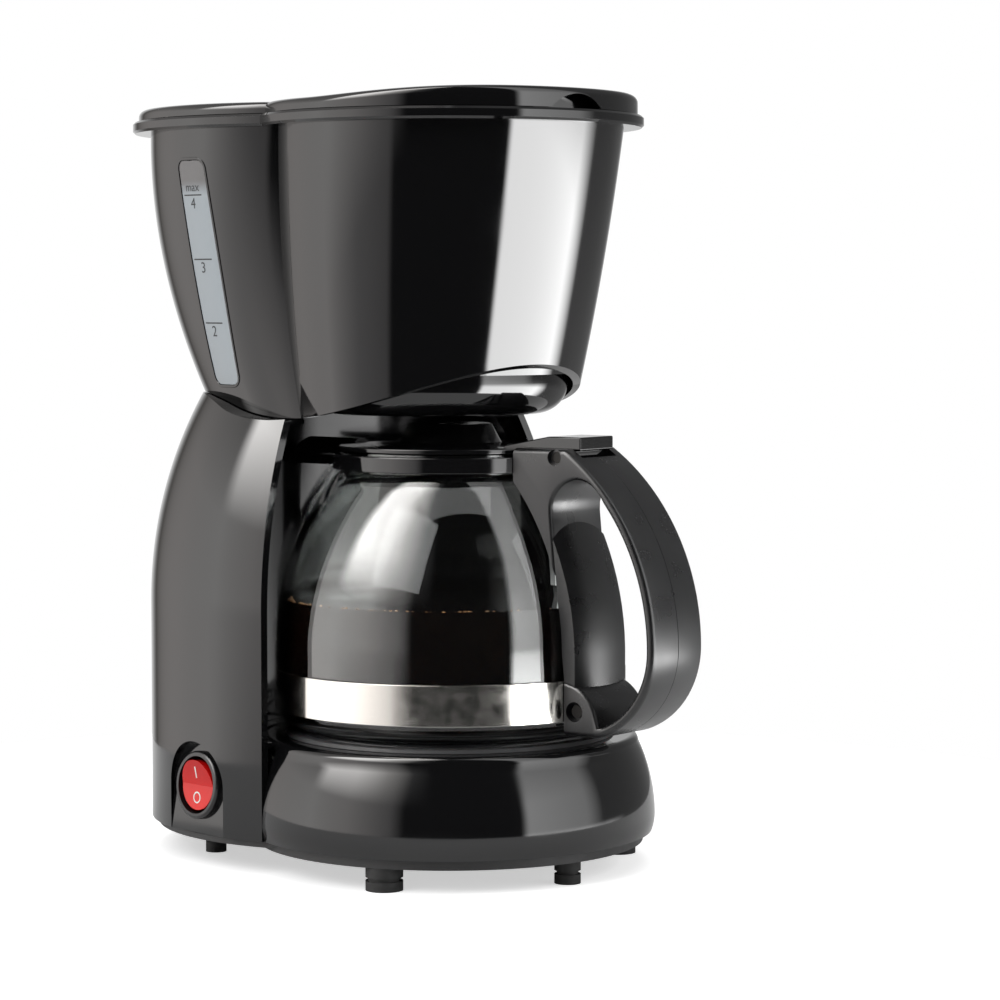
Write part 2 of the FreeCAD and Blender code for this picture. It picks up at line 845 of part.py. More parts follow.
def switch():
    lip = s.bezel_height / 2
    housing = switch_piece("switch_housing")
    housing.revolve([
        (0, -s.barrel_depth),
        (s.barrel_radius, -s.barrel_depth),
        (s.barrel_radius, 0),
        (s.bezel_radius, 0),
        (s.bezel_radius, s.bezel_height - lip),
        (s.bezel_radius - lip, s.bezel_height, lip),
        (s.cup_radius, s.bezel_height),
        (s.cup_radius, -s.cup_depth),
        (0, -s.cup_depth),
    ])
    node(housing, "switch_housing")
    # off: the lower half of the face lies level, the upper half stands out
    profile = switch_piece("rocker_profile")
    reach = s.rocker_radius
    foot_half = reach / 2
    profile.pad("XZ_Plane", [
        (-reach, s.rocker_face),
        (-reach, -s.rocker_pivot),
        (-foot_half, -s.rocker_depth),
        (foot_half, -s.rocker_depth),
        (reach, -s.rocker_pivot),
        (reach, s.rocker_face + s.rocker_lift),
        (0, s.rocker_face),
    ], low=-reach, high=reach)
    blank = switch_piece("rocker_blank")
    blank.pad("XY_Plane", Round(0, 0, reach), low=-s.cup_depth, high=s.cup_depth)
    node(common("switch_rocker", profile.body, blank.body), "switch_rocker")
    tabs = []
    for i, up in enumerate((-5.5, 0.0, 5.5)):
        tab = switch_piece(f"switch_tab_{i}")
        tab.pad("XY_Plane", [(up - 0.4, -3.0), (up + 0.4, -3.0), (up + 0.4, 3.0), (up - 0.4, 3.0)],
                low=-s.barrel_depth - s.terminal_length, high=-s.barrel_depth)
        tabs.append(tab.body)
    node(group("switch_terminals", *tabs), "switch_terminals")


def cord_gland():
    gland = Piece("cord_gland")
    outer = s.gland_radius + 2.0
    bore = Round(0, gland_z, s.gland_bore)
    gland.pad("XZ_Plane", Round(0, gland_z, s.gland_radius), low=column_back - s.wall - 4.0, high=column_back)
    gland.pad("XZ_Plane", Round(0, gland_z, outer), low=column_back, high=column_back + 1.6)
    gland.pocket("XZ_Plane", bore, low=column_back - 20.0, high=column_back + 5.0)
    return node(gland, "cord_gland")


def column_front_panel():
    # a concave wall round the carafe, with a shelf at the deck
    ring = Piece("panel_ring")
    shelf = s.drum_top_radius + s.seam_gap
    outer = s.panel_radius + s.wall
    ring.revolve([
        (shelf, deck - s.wall),
        (outer, deck - s.wall),
        (outer, column_end),
        (s.panel_radius, column_end),
        (s.panel_radius, deck),
        (shelf, deck),
    ])
    inside = column_solid("panel_limit", s.wall + s.seam_gap, s.column_front + s.panel_set_back,
                          shell_bottom, s.seam_gap * 2)
    return node(common("column_front_panel", ring.body, inside.body), "column_front_panel")


levels = {
    "low": (hem - 3.0, s.front_low_radius, s.front_low_y, s.rear_low_radius, s.rear_low_y, s.waist_low_y),
    "mid": (hem + s.mid_rise, s.front_mid_radius, s.front_mid_y, s.rear_mid_radius, s.rear_mid_y,
            s.waist_mid_y),
    "top": (rim_top, s.front_top_radius, as_size(0.0), s.rear_top_radius, s.rear_top_y, s.waist_top_y),
}


def lobe(label, inset, radius_at, y_at, reach=None):
    # a tapering round tub through the three levels, and on past the rim if reach is given
    rings = []
    for level, sizes in levels.items():
        circle = Round(0, sizes[y_at], sizes[radius_at] - inset)
        rings.append(section(f"{label}_{level}", sizes[0], circle))
    if reach is not None:
        mid, top = levels["mid"], levels["top"]
        part = as_size(reach) / (top[0] - mid[0])
        radius = top[radius_at] + (top[radius_at] - mid[radius_at]) * part
        y = top[y_at] + (top[y_at] - mid[y_at]) * part
        rings.append(section(f"{label}_reach", rim_top + reach, Round(0, y, radius - inset)))
    return loft(label, rings)


def front_lobe(label, inset, reach=None):
    return lobe(label, inset, 1, 2, reach)


def rear_lobe(label, inset, reach=None):
    return lobe(label, inset, 3, 4, reach)


def front_skin():
    # the front lobe's outside, which ends at the waist in a rounded upright edge
    rings = []
    for level, (z, radius, y, _, _, waist) in levels.items():
        inner = radius - s.waist_round
        down = waist - s.waist_round - y
        fillet_x = leg(inner, down)
        touch_x = fillet_x * radius / inner
        touch_y = y + down * radius / inner
        rings.append(section(f"front_skin_{level}", z, [
            (-touch_x, touch_y, s.waist_round),
            (0, y - radius, radius),
            (touch_x, touch_y, radius),
            (fillet_x, waist, s.waist_round),
            (-fillet_x, waist),
        ]))
    return loft("front_skin", rings)


def window_outline(grow):
    # a leaning slot in side view
    half = s.window_width / 2 + grow
    top = rim_top - s.window_top_drop + grow
    bottom = hem + s.window_bottom_rise - grow
    corner = s.window_corner + grow
    low_y, high_y = s.window_bottom_y, s.window_top_y
    lean = (high_y - low_y) / (top - bottom) * corner
    return [
        (low_y - half + lean, bottom + corner),
        (low_y - half + corner, bottom, corner * 1.02),
        (low_y + half - corner, bottom),
        (low_y + half + lean, bottom + corner, corner * 1.02),
        (high_y + half - lean, top - corner),
        (high_y + half - corner, top, corner * 1.02),
        (high_y - half + corner, top),
        (high_y - half - lean, top - corner, corner * 1.02),
    ]


def slab(label, low, high):
    return block(label, (-far, far), (-far, far), (low, high))


hinge_y = s.rear_top_y + s.rear_top_radius + s.rim_overhang + s.knuckle_set_back
hinge_z = rim_top + s.knuckle_rise


def tank_housing():
    rear = rear_lobe("rear_outside", 0.0)
    rim = Piece("rim_lip")
    rim.pad("XY_Plane", Round(0, 0, s.front_top_radius + s.rim_overhang), low=rim_bottom, high=rim_top)
    rim.pad("XY_Plane", Round(0, s.rear_top_y, s.rear_top_radius + s.rim_overhang),
            low=rim_bottom, high=rim_top)
    ears = []
    for side in (-1, 1):
        ear = Piece("hinge_ear")
        near = side * (s.lug_half_width + s.seam_gap)
        away = side * (s.lug_half_width + s.ear_thick)
        low, high = (near, away) if side > 0 else (away, near)
        ear.pad("YZ_Plane", Round(hinge_y, hinge_z, s.knuckle_radius), low=low, high=high)
        root_y = s.rear_top_y + s.rear_top_radius
        web = [(root_y, rim_bottom), (hinge_y, rim_bottom), (hinge_y, rim_top), (root_y, rim_top)]
        ear.pad("YZ_Plane", web, low=low, high=high)
        ear.pocket("YZ_Plane", Round(hinge_y, hinge_z, s.lid_pin_radius + s.pin_clearance), low=low, high=high)
        ears.append(ear.body)
    chamber = front_lobe("chamber_outside", 0.0)
    chamber_hollow = front_lobe("chamber_inside", s.wall, 8.0)
    tank_hollow = rear_lobe("tank_inside", s.wall, 8.0)
    above = rim_top + 5.0
    # the brew chamber goes right through, and its floor is a plate of its own
    tank_part = common("tank_part", tank_hollow, slab("tank_slab", tank_floor, partition_top))
    hollows = [
        common("chamber_space", chamber_hollow, slab("chamber_slab", chamber_floor, above)),
        cut("tank_space", tank_part, chamber),
        common("tank_mouth", tank_hollow, slab("mouth_slab", partition_top, above)),
        common("front_under", chamber_hollow, slab("front_slab", hem - 20.0, chamber_floor + s.wall)),
        common("rear_under", tank_hollow, slab("rear_slab", hem - 20.0, tank_floor - s.wall)),
    ]
    below = Piece("below_hem")
    drop = [(s.hem_y + far, hem - 30.0), (s.hem_y - far, hem - 30.0)]
    below.pad("YZ_Plane", hem_arcs(as_size(0.0)) + drop, low=-far, high=far)
    outlet = Piece("hose_holes")
    for x in (s.hose_x, -s.hose_x):
        outlet.pad("XY_Plane", Round(x, hose_y, s.nipple_radius + s.pin_clearance),
                   low=hem, high=tank_floor + 5.0)
    slot = Piece("window_slot")
    slot.pad("YZ_Plane", window_outline(as_size(0.0)), low=-far, high=-20.0)
    lobes = [cut(f"hemmed_{i}", blank, below.body) for i, blank in enumerate((front_skin(), rear))]
    skin = fuse("housing_skin", *lobes, rim.body, *ears)
    tools = hollows + [outlet.body, slot.body]
    return node(cut("tank_housing", skin, *tools), "tank_housing")


def basket_seat():
    # the plate under the filter basket, with the hole for its outlet
    blank = front_lobe("seat_blank", s.wall + s.pin_clearance)
    plate = common("seat_plate", blank, slab("seat_slab", chamber_floor - s.wall, chamber_floor))
    hole = Piece("outlet_hole")
    hole.pad("XY_Plane", Round(0, 0, s.outlet_hole), low=hem, high=chamber_floor + 5.0)
    return node(cut("basket_seat", plate, hole.body), "basket_seat")


def level_window():
    outside = rear_lobe("window_outside", 0.0)
    inside = rear_lobe("window_inside", s.wall)
    wall = cut("window_wall", outside, inside)
    pane = Piece("window_pane")
    pane.pad("YZ_Plane", window_outline(-s.window_gap), low=-far, high=-20.0)
    return node(common("level_window", wall, pane.body), "level_window")


def brew_chamber_floor():
    top = chamber_floor - s.wall
    inner = s.dish_round - s.wall
    flat = s.dish_radius - s.dish_round
    dish = Piece("brew_chamber_floor")
    dish.revolve([
        (0, dish_bottom),
        (flat, dish_bottom),
        (s.dish_radius, dish_bottom + s.dish_round, s.dish_round),
        (s.dish_radius, top),
        (s.dish_radius - s.wall, top),
        (s.dish_radius - s.wall, dish_bottom + s.dish_round),
        (flat, dish_bottom + s.wall, -inner),
        (0, dish_bottom + s.wall),
    ], about_y=s.front_low_y - 0.7)
    dish.pocket("XY_Plane", Round(0, 0, s.outlet_radius - 2.0), low=dish_bottom - 5.0, high=dish_bottom + 5.0)
    return node(dish, "brew_chamber_floor")


def lid():
    front = s.front_top_radius + s.lid_overhang
    rear = s.rear_top_radius + s.lid_overhang
    rear_top = lid_bottom + s.lid_rear_height
    cap = Piece("lid")
    cap.revolve([
        (0, lid_bottom),
        (front, lid_bottom),
        (front, lid_top - s.lid_round),
        (front - s.lid_round, lid_top, s.lid_round),
        (0, lid_top),
    ])
    cap.revolve([
        (0, lid_bottom),
        (rear, lid_bottom),
        (rear, rear_top - s.lid_rear_round),
        (rear - s.lid_rear_round, rear_top, s.lid_rear_round),
        (0, rear_top),
    ], about_y=s.rear_top_y)
    cap.pocket("XY_Plane", Round(0, 0, front - s.wall), low=lid_bottom, high=lid_top - s.lid_sheet)
    cap.pocket("XY_Plane", Round(0, s.rear_top_y, rear - s.wall), low=lid_bottom, high=rear_top - s.lid_sheet)
    # thumb scoop in the front of the skirt, closed behind by its own wall
    scoop_back = -(front - s.scoop_depth)
    half = s.scoop_half_width
    arch_radius = (half * half + s.scoop_height * s.scoop_height) / (2 * s.scoop_height)
    wider = s.scoop_half_width + s.wall
    cap.pad("XY_Plane", [(-wider, scoop_back), (wider, scoop_back), (wider, scoop_back + s.wall),
                         (-wider, scoop_back + s.wall)], low=lid_bottom, high=lid_top - s.lid_sheet / 2)
    scoop = [(s.scoop_half_width, lid_bottom), (0, lid_bottom + s.scoop_height, arch_radius),
             (-s.scoop_half_width, lid_bottom, arch_radius)]
    cap.pocket("XZ_Plane", scoop, low=-far, high=scoop_back)
    # hinge lug behind the rear edge
    half = s.lug_half_width
    lug_front = s.rear_top_y + s.rear_top_radius - 2.0
    lug = [(lug_front, lid_bottom), (hinge_y, lid_bottom), (hinge_y, rear_top), (lug_front, rear_top)]
    cap.pad("YZ_Plane", lug, low=-half, high=half)
    cap.pad("YZ_Plane", Round(hinge_y, hinge_z, s.knuckle_radius), low=-half, high=half)
    cap.pocket("YZ_Plane", Round(hinge_y, hinge_z, s.lid_pin_radius + s.pin_clearance), low=-far, high=far)
    node(cap, "lid")
    pin = Piece("lid_hinge_pin")
    reach = s.lug_half_width + s.ear_thick
    pin.pad("YZ_Plane", Round(hinge_y, hinge_z, s.lid_pin_radius), low=-reach, high=reach)
    node(pin, "lid_hinge_pin")
    # water spreader under the front lobe
    sheet_low = lid_top - s.lid_sheet
    spreader = Piece("lid_spreader")
    thin = s.lid_sheet / 2
    low = sheet_low - s.lid_height + s.lid_sheet - s.spreader_depth
    spreader.revolve([
        (0, low),
        (s.spreader_radius, low + thin),
        (s.spreader_radius, sheet_low),
        (s.spreader_radius - thin, sheet_low),
        (s.spreader_radius - thin, low + 2 * thin),
        (0, low + thin),
    ])
    spots = [math.radians(60.0 * i) for i in range(6)]
    spreader.pocket("XY_Plane", *[Round(s.spreader_ring * math.cos(a), s.spreader_ring * math.sin(a),
                                        s.spreader_hole) for a in spots], low=low - 5.0, high=low + 3 * thin)
    return node(spreader, "lid_spreader")


basket_top = rim_top - s.basket_drop
basket_foot = chamber_floor + s.seam_gap
outlet_low = basket_foot - s.outlet_length
valve_seat = outlet_low + s.basket_wall
stem_hole = s.valve_stem + s.valve_clearance


def filter_basket():
    thin = s.basket_wall
    bore = s.outlet_radius - thin
    basket = Piece("filter_basket")
    basket.revolve([
        (stem_hole, outlet_low),
        (s.outlet_radius, outlet_low),
        (s.outlet_radius, basket_foot),
        (s.basket_low_radius, basket_foot),
        (s.basket_radius, basket_top - 3 * thin),
        (s.basket_radius, basket_top - thin),
        (s.basket_rim, basket_top - thin),
        (s.basket_rim, basket_top),
        (s.basket_radius - thin, basket_top),
        (s.basket_radius - thin, basket_top - 3 * thin),
        (s.basket_low_radius - thin, basket_foot + thin),
        (bore, basket_foot + thin),
        (bore, valve_seat),
        (stem_hole, valve_seat),
    ])
    node(basket, "filter_basket")
    guide = Piece("valve_guide")
    guide_low = basket_foot + thin
    guide.pad("XY_Plane", Round(0, 0, bore + 3.0), low=guide_low, high=guide_low + thin)
    holes = [Round(6.2 * math.cos(a), 6.2 * math.sin(a), 1.9) for a in (math.radians(90 * i) for i in range(4))]
    guide.pocket("XY_Plane", Round(0, 0, stem_hole), *holes, low=guide_low - 1.0, high=guide_low + thin)
    node(guide, "valve_guide")


head_low = valve_seat + s.valve_seal_thick
head_top = head_low + s.basket_wall


def drip_valve():
    tip = carafe_top + s.valve_tip_gap
    valve = Piece("drip_valve")
    valve.revolve([
        (0, tip),
        (s.valve_stem, tip + s.valve_stem / 2),
        (s.valve_stem, head_low),
        (s.valve_head, head_low),
        (s.valve_head, head_top),
        (s.valve_stem, head_top),
        (s.valve_stem, basket_foot + s.basket_wall),
        (0, basket_foot + s.basket_wall),
    ])
    node(valve, "drip_valve")
    seal = Piece("valve_seal")
    seal.revolve([
        (s.valve_stem + s.pin_clearance, valve_seat),
        (s.valve_head, valve_seat),
        (s.valve_head, head_low),
        (s.valve_stem + s.pin_clearance, head_low),
    ])
    node(seal, "valve_seal")
    spring = Piece("valve_spring")
    inner = s.valve_stem + s.valve_clearance
    spring.revolve([
        (inner, head_top),
        (inner + 1.2, head_top),
        (inner + 1.2, basket_foot + s.basket_wall),
        (inner, basket_foot + s.basket_wall),
    ])
    node(spring, "valve_spring")


def hose(label, x):
    # straight up the column from the heater, with one wide bend
    bend = s.hose_bend
    start = nipple_end - s.nipple_length * 0.4
    top = tank_floor - s.wall
    path = Piece(label)
    spine = path.sketch("YZ_Plane", [], x)
    draw_outline(spine, [
        (start, hose_level),
        (hose_y - bend, hose_level),
        (hose_y, hose_level + bend, bend),
        (hose_y, top),
    ], closed=False)
    circles = [Round(x, hose_level, s.hose_radius), Round(x, hose_level, s.hose_bore)]
    ring = path.sketch("XZ_Plane", circles, -start)
    pipe = path.feature("AdditivePipe", ring)
    pipe.Spine = (spine, [])
    return node(path, label)


def hose_clamps():
    rings = []
    clamp = s.hose_radius + s.clamp_thick
    mid = nipple_end - s.nipple_length * 0.2
    for side in (1, -1):
        x = side * s.hose_x
        low = Piece("hose_clamp")
        low.pad("XZ_Plane", Round(x, hose_level, clamp), Round(x, hose_level, s.hose_radius),
                low=mid - s.clamp_width / 2, high=mid + s.clamp_width / 2)
        high_mid = tank_floor - s.wall - 8.0
        high = Piece("hose_clamp")
        high.pad("XY_Plane", Round(x, hose_y, clamp), Round(x, hose_y, s.hose_radius),
                 low=high_mid - s.clamp_width / 2, high=high_mid + s.clamp_width / 2)
        rings += [low.body, high.body]
    return node(group("hose_clamps", *rings), "hose_clamps")


def tank_outlet():
    # fitting in the tank floor, with a ball that stops water from going back
    flange = s.nipple_radius + 3.0
    fitting = Piece("tank_outlet")
    x, y = s.hose_x, hose_y
    low = tank_floor - s.wall - s.nozzle_length
    fitting.pad("XY_Plane", Round(x, y, s.nipple_radius), low=low, high=tank_floor)
    fitting.pad("XY_Plane", Round(x, y, flange), low=tank_floor, high=tank_floor + s.wall)
    fitting.pocket("XY_Plane", Round(x, y, s.spout_tube_bore - 0.8), low=low, high=low + 3.0)
    fitting.pocket("XY_Plane", Round(x, y, s.ball_radius + 0.3), low=low + 3.0, high=tank_floor + s.wall)
    node(fitting, "tank_outlet")
    ball = doc.addObject("Part::Sphere", "check_ball")
    bind(ball, "Radius", s.ball_radius)
    place(ball, height=low + 3.0 + s.ball_radius)
    bind(ball, "Placement.Base.x", x)
    bind(ball, "Placement.Base.y", s.axis_y + y)
    return node(ball, "check_ball")


def water_spout():
    # rigid tube through the tank floor, up and over the partition towards the brew axis
    x, y = -s.hose_x, hose_y
    run = root(s.hose_x * s.hose_x + hose_y * hose_y) - s.basket_rim - 1.5
    low = tank_floor - s.wall - s.nozzle_length
    level = rim_top - s.spout_tube_drop
    bend = s.spout_tube_bend
    tube = Piece("water_spout")
    heading = math.degrees(math.atan2(-y.value, -x.value))
    base = Vector(x.value, (s.axis_y + y).value, 0)
    tube.body.Placement = Placement(base, Rotation(Vector(0, 0, 1), heading))
    bind(tube.body, "Placement.Base.x", x)
    bind(tube.body, "Placement.Base.y", s.axis_y + y)
    spine = tube.sketch("XZ_Plane", [])
    draw_outline(spine, [(0, low), (0, level - bend), (bend, level, -bend), (run, level)], closed=False)
    ring = tube.sketch("XY_Plane", [Round(0, 0, s.spout_tube_radius), Round(0, 0, s.spout_tube_bore)], low)
    pipe = tube.feature("AdditivePipe", ring)
    pipe.Spine = (spine, [])
    sleeve = Round(0, 0, s.spout_tube_radius - 0.3)
    tube.pad("XY_Plane", Round(0, 0, s.nipple_radius + 3.0), sleeve, low=tank_floor, high=tank_floor + s.wall)
    tube.pad("XY_Plane", Round(0, 0, s.nipple_radius), sleeve, low=low, high=tank_floor)
    return node(tube, "water_spout")


band_low = jug_bottom + s.band_rise
band_radius = s.jug_radius + s.pin_clearance
collar_radius = s.neck_radius - s.neck_step + s.seat_gap
collar_low = neck_start + s.neck_step + 0.5


def glass_jug():
    rise = s.jug_radius - s.jug_foot_radius
    neck = s.neck_radius - s.neck_step
    inner_shoulder = s.shoulder_radius - s.glass
    drop = s.jug_radius - s.neck_radius
    inner_neck_z = jug_shoulder + leg(inner_shoulder, inner_shoulder - drop)
    jug = Piece("glass_jug", turned=True)
    jug.revolve([
        (0, jug_bottom + s.punt_rise),
        (s.punt_radius, jug_bottom + s.punt_rise),
        (s.punt_radius + 2 * s.punt_rise, jug_bottom),
        (s.jug_foot_radius, jug_bottom),
        (s.jug_radius, jug_bottom + rise, rise),
        (s.jug_radius, jug_shoulder),
        (s.neck_radius, neck_start, s.shoulder_radius),
        (neck, neck_start + s.neck_step),
        (neck, jug_top),
        (neck - s.glass, jug_top),
        (neck - s.glass, neck_start + s.neck_step - s.glass / 2),
        (s.neck_radius - s.glass, inner_neck_z),
        (s.jug_radius - s.glass, jug_shoulder, -inner_shoulder),
        (s.jug_radius - s.glass, jug_bottom + rise),
        (s.jug_foot_radius, jug_bottom + s.glass, -(rise - s.glass)),
        (s.punt_radius, jug_bottom + s.glass + s.punt_rise),
        (0, jug_bottom + s.glass + s.punt_rise),
    ])
    return node(jug, "glass_jug")


def carafe_band():
    band = Piece("carafe_band", turned=True)
    band.revolve([
        (band_radius, band_low),
        (band_radius + s.band_sheet, band_low),
        (band_radius + s.band_sheet, band_low + s.band_height),
        (band_radius, band_low + s.band_height),
    ])
    return node(band, "carafe_band")


def carafe_collar():
    outer = collar_radius + s.collar_thick
    top = collar_low + s.collar_height
    collar = Piece("carafe_collar", turned=True)
    collar.revolve([(collar_radius, collar_low), (outer, collar_low), (outer, top), (collar_radius, top)])
    return node(collar, "carafe_collar")


def pouring_hood():
    # hooded pouring spout against the collar, opposite the handle
    outer = collar_radius + s.collar_thick
    piece = Piece("pouring_hood", turned=True)
    half = s.spout_half_width
    spring = collar_low + s.spout_wall + s.spout_side

    def hood(inset):
        w = half - inset
        return [
            (-w, collar_low + inset),
            (w, collar_low + inset),
            (w, spring),
            (0, spring + w, w),
            (-w, spring, w),
        ]

    start = outer - s.collar_thick / 2
    piece.pad("XZ_Plane", hood(as_size(0.0)), hood(s.spout_wall), low=start, high=s.spout_reach)
    crown = spring + half
    piece.pocket("YZ_Plane", [
        (s.spout_reach + 1.0, collar_low + s.spout_wall),
        (s.spout_reach + 1.0, crown + 1.0),
        (s.spout_reach - s.spout_mouth_set_back, crown + 1.0),
    ], low=-far, high=far)
    # its root follows the collar's round outside
    piece.groove([
        (0, collar_low - 1.0),
        (outer, collar_low - 1.0),
        (outer, crown + 1.0),
        (0, crown + 1.0),
    ])
    return node(piece, "pouring_hood")


hinge_level = jug_top - 0.2
handle_top = jug_top + s.handle_top_rise
handle_bottom = jug_bottom + s.handle_bottom_rise
handle_waist = jug_bottom + s.handle_waist_rise


def bow(shrink):
    # the grip's bow in side view, outermost at the waist
    out = s.handle_reach - shrink
    top_y = s.hinge_reach + 4.0
    low_y = s.hinge_reach + 17.5
    top_z = handle_top - shrink
    low_z = handle_bottom + shrink
    rise = top_z - handle_waist
    fall = handle_waist - low_z
    upper = (rise * rise + (out - top_y) * (out - top_y)) / (2 * (out - top_y))
    lower = (fall * fall + (out - low_y) * (out - low_y)) / (2 * (out - low_y))
    return (-top_y, top_z), (-out, handle_waist, upper), (-low_y, low_z, lower)


def carafe_handle():
    half = s.handle_half_width
    clear = band_radius + s.band_sheet + s.seam_gap
    inner = s.neck_radius
    handle = Piece("handle_blank", turned=True)
    top, out, low = bow(as_size(0.0))
    handle.pad("YZ_Plane", [top, out, low, (-inner, handle_bottom), (-inner, handle_top)], low=-half, high=half)
    # finger opening, which leaves a web along the glass and a solid corner at the screw
    opening = Piece("handle_opening", turned=True)
    top, out, low = bow(s.strap)
    corner_z = hinge_level - s.grip_corner_drop
    corner_reach = -out[0] - sag(out[2], corner_z - handle_waist)
    opening.pad("YZ_Plane", [
        (-corner_reach, corner_z, 12.0),
        out,
        low,
        (-s.grip_foot_reach, handle_bottom + s.grip_foot_rise, 15.0),
        (-(s.hinge_reach - s.grip_inner_reach), hinge_level - s.grip_inner_drop),
        (-(s.hinge_reach + s.grip_roof_reach), hinge_level - s.grip_roof_drop, 11.0),
    ], low=-half - 1.0, high=half + 1.0)
    web = clear + s.web
    opening.groove([
        (0, 0),
        (web, 0),
        (web, jug_shoulder),
        (s.neck_radius + web - s.jug_radius, neck_start, s.shoulder_radius + web - s.jug_radius),
        (0, neck_start),
    ])
    # room for the jug, its band and its collar
    collar_clear = collar_radius + s.collar_thick + s.seam_gap
    neck_clear = s.neck_radius + clear - s.jug_radius
    handle.groove([
        (0, 0),
        (clear, 0),
        (clear, jug_shoulder),
        (neck_clear, neck_start, s.shoulder_radius + clear - s.jug_radius),
        (collar_clear, neck_start),
        (collar_clear, handle_top + 20.0),
        (0, handle_top + 20.0),
    ])
    # slot for the lid's hinge lug between two ears
    slot_half = s.lever_half_width + s.seam_gap
    slot_low = hinge_level - s.hinge_pin_radius * 2.2 - s.seam_gap
    handle.pocket("XY_Plane", [
        (-slot_half, -(s.hinge_reach + 8.0)),
        (slot_half, -(s.hinge_reach + 8.0)),
        (slot_half, -inner + 5.0),
        (-slot_half, -inner + 5.0),
    ], low=slot_low, high=handle_top + 20.0)
    handle.pocket("YZ_Plane", Round(-s.hinge_reach, hinge_level, s.hinge_pin_radius + s.pin_clearance),
                  low=-far, high=far)
    screw_bore = Round(-s.handle_screw_reach, screw_level, s.handle_screw_radius + s.pin_clearance)
    handle.pocket("YZ_Plane", screw_bore, low=-far, high=far)
    node(cut("carafe_handle", handle.body, opening.body), "carafe_handle")
    for label, reach, level, radius in (
            ("carafe_hinge_pin", s.hinge_reach, hinge_level, s.hinge_pin_radius),
            ("handle_screw", s.handle_screw_reach, screw_level, s.handle_screw_radius)):
        pin = Piece(label, turned=True)
        pin.pad("YZ_Plane", Round(-reach, level, radius), low=-(half - s.strap / 2), high=half - s.strap / 2)
        node(pin, label)


screw_level = handle_bottom + 8.0


def carafe_lid():
    rim = collar_radius
    thin = s.spout_wall
    plug = collar_radius - s.seat_gap * 2 - s.glass
    cap = Piece("carafe_lid", turned=True)
    cap.revolve([
        (s.dome_hole, carafe_top),
        (s.dome_hole, carafe_top - thin),
        (s.dome_top_radius - thin, carafe_top - thin),
        (s.dome_radius - thin, jug_lid_bottom),
        (plug - thin, jug_lid_bottom),
        (plug - thin, jug_lid_bottom - 3.0),
        (plug, jug_lid_bottom - 3.0),
        (plug, jug_lid_bottom),
        (rim, jug_lid_bottom),
        (rim, jug_lid_top - thin / 2),
        (s.dome_radius + thin, jug_lid_top),
        (s.dome_radius, jug_lid_top),
        (s.dome_top_radius, carafe_top),
    ])
    # arm over the handle's ears to the thumb lever, and the hinge lug under it
    half = s.lever_half_width
    lever_low = handle_top + 1.1
    lever_top = lever_low + s.lever_thick
    lug = s.hinge_pin_radius * 2.1
    cap.pad("YZ_Plane", [
        (-(rim - 8.0), jug_lid_bottom + 0.4),
        (-(rim - 8.0), jug_lid_top),
        (-(s.hinge_reach - 6.0), lever_top),
        (-s.lever_reach, lever_top),
        (-s.lever_reach, handle_top - s.lever_lip),
        (-(s.hinge_reach + lug), handle_top - s.lever_lip),
        (-(s.hinge_reach + lug), hinge_level),
        (-s.hinge_reach, hinge_level - lug, lug),
        (-(s.hinge_reach - lug), hinge_level, lug),
        (-(s.hinge_reach - lug), jug_lid_bottom + 0.4),
    ], low=-half, high=half)
    cap.pocket("YZ_Plane", Round(-s.hinge_reach, hinge_level, s.hinge_pin_radius + s.pin_clearance),
               low=-far, high=far)
    return node(cap, "carafe_lid")


for make in (base_shell, base_cover, base_screws, feet, warming_plate, plate_seal, heater_block,
             heater_fittings, column_shell, column_front_panel, switch, cord_gland, tank_housing, basket_seat,
             level_window, brew_chamber_floor, lid, filter_basket, drip_valve, hose_clamps, tank_outlet, water_spout,
             glass_jug, carafe_band, carafe_collar, pouring_hood, carafe_handle, carafe_lid):
    make()
hose("inlet_hose", s.hose_x)
hose("riser_hose", -s.hose_x)
doc.recompute()

# nothing is written unless every object is sound
for thing in doc.Objects:
    if any(word in thing.State for word in ("Invalid", "Error")):
        raise RuntimeError(f"{thing.Label} did not build: {thing.State}")
for label, thing in nodes.items():
    if thing.Shape.isNull() or not thing.Shape.isValid() or thing.Shape.Volume < 50.0:
        raise RuntimeError(f"{label} is not a sound solid")

os.makedirs("parts", exist_ok=True)
for label, thing in nodes.items():
    thing.Shape.exportStep(f"parts/{label}.step")
    box = thing.Shape.BoundBox
    print(f"{label}: {len(thing.Shape.Solids)} solids, {thing.Shape.Volume:.0f} mm3, "
          f"x {box.XMin:.1f} {box.XMax:.1f}, y {box.YMin:.1f} {box.YMax:.1f}, z {box.ZMin:.1f} {box.ZMax:.1f}")
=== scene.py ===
import json
import math
import random
import bmesh
import bpy
from mathutils import Matrix, Vector

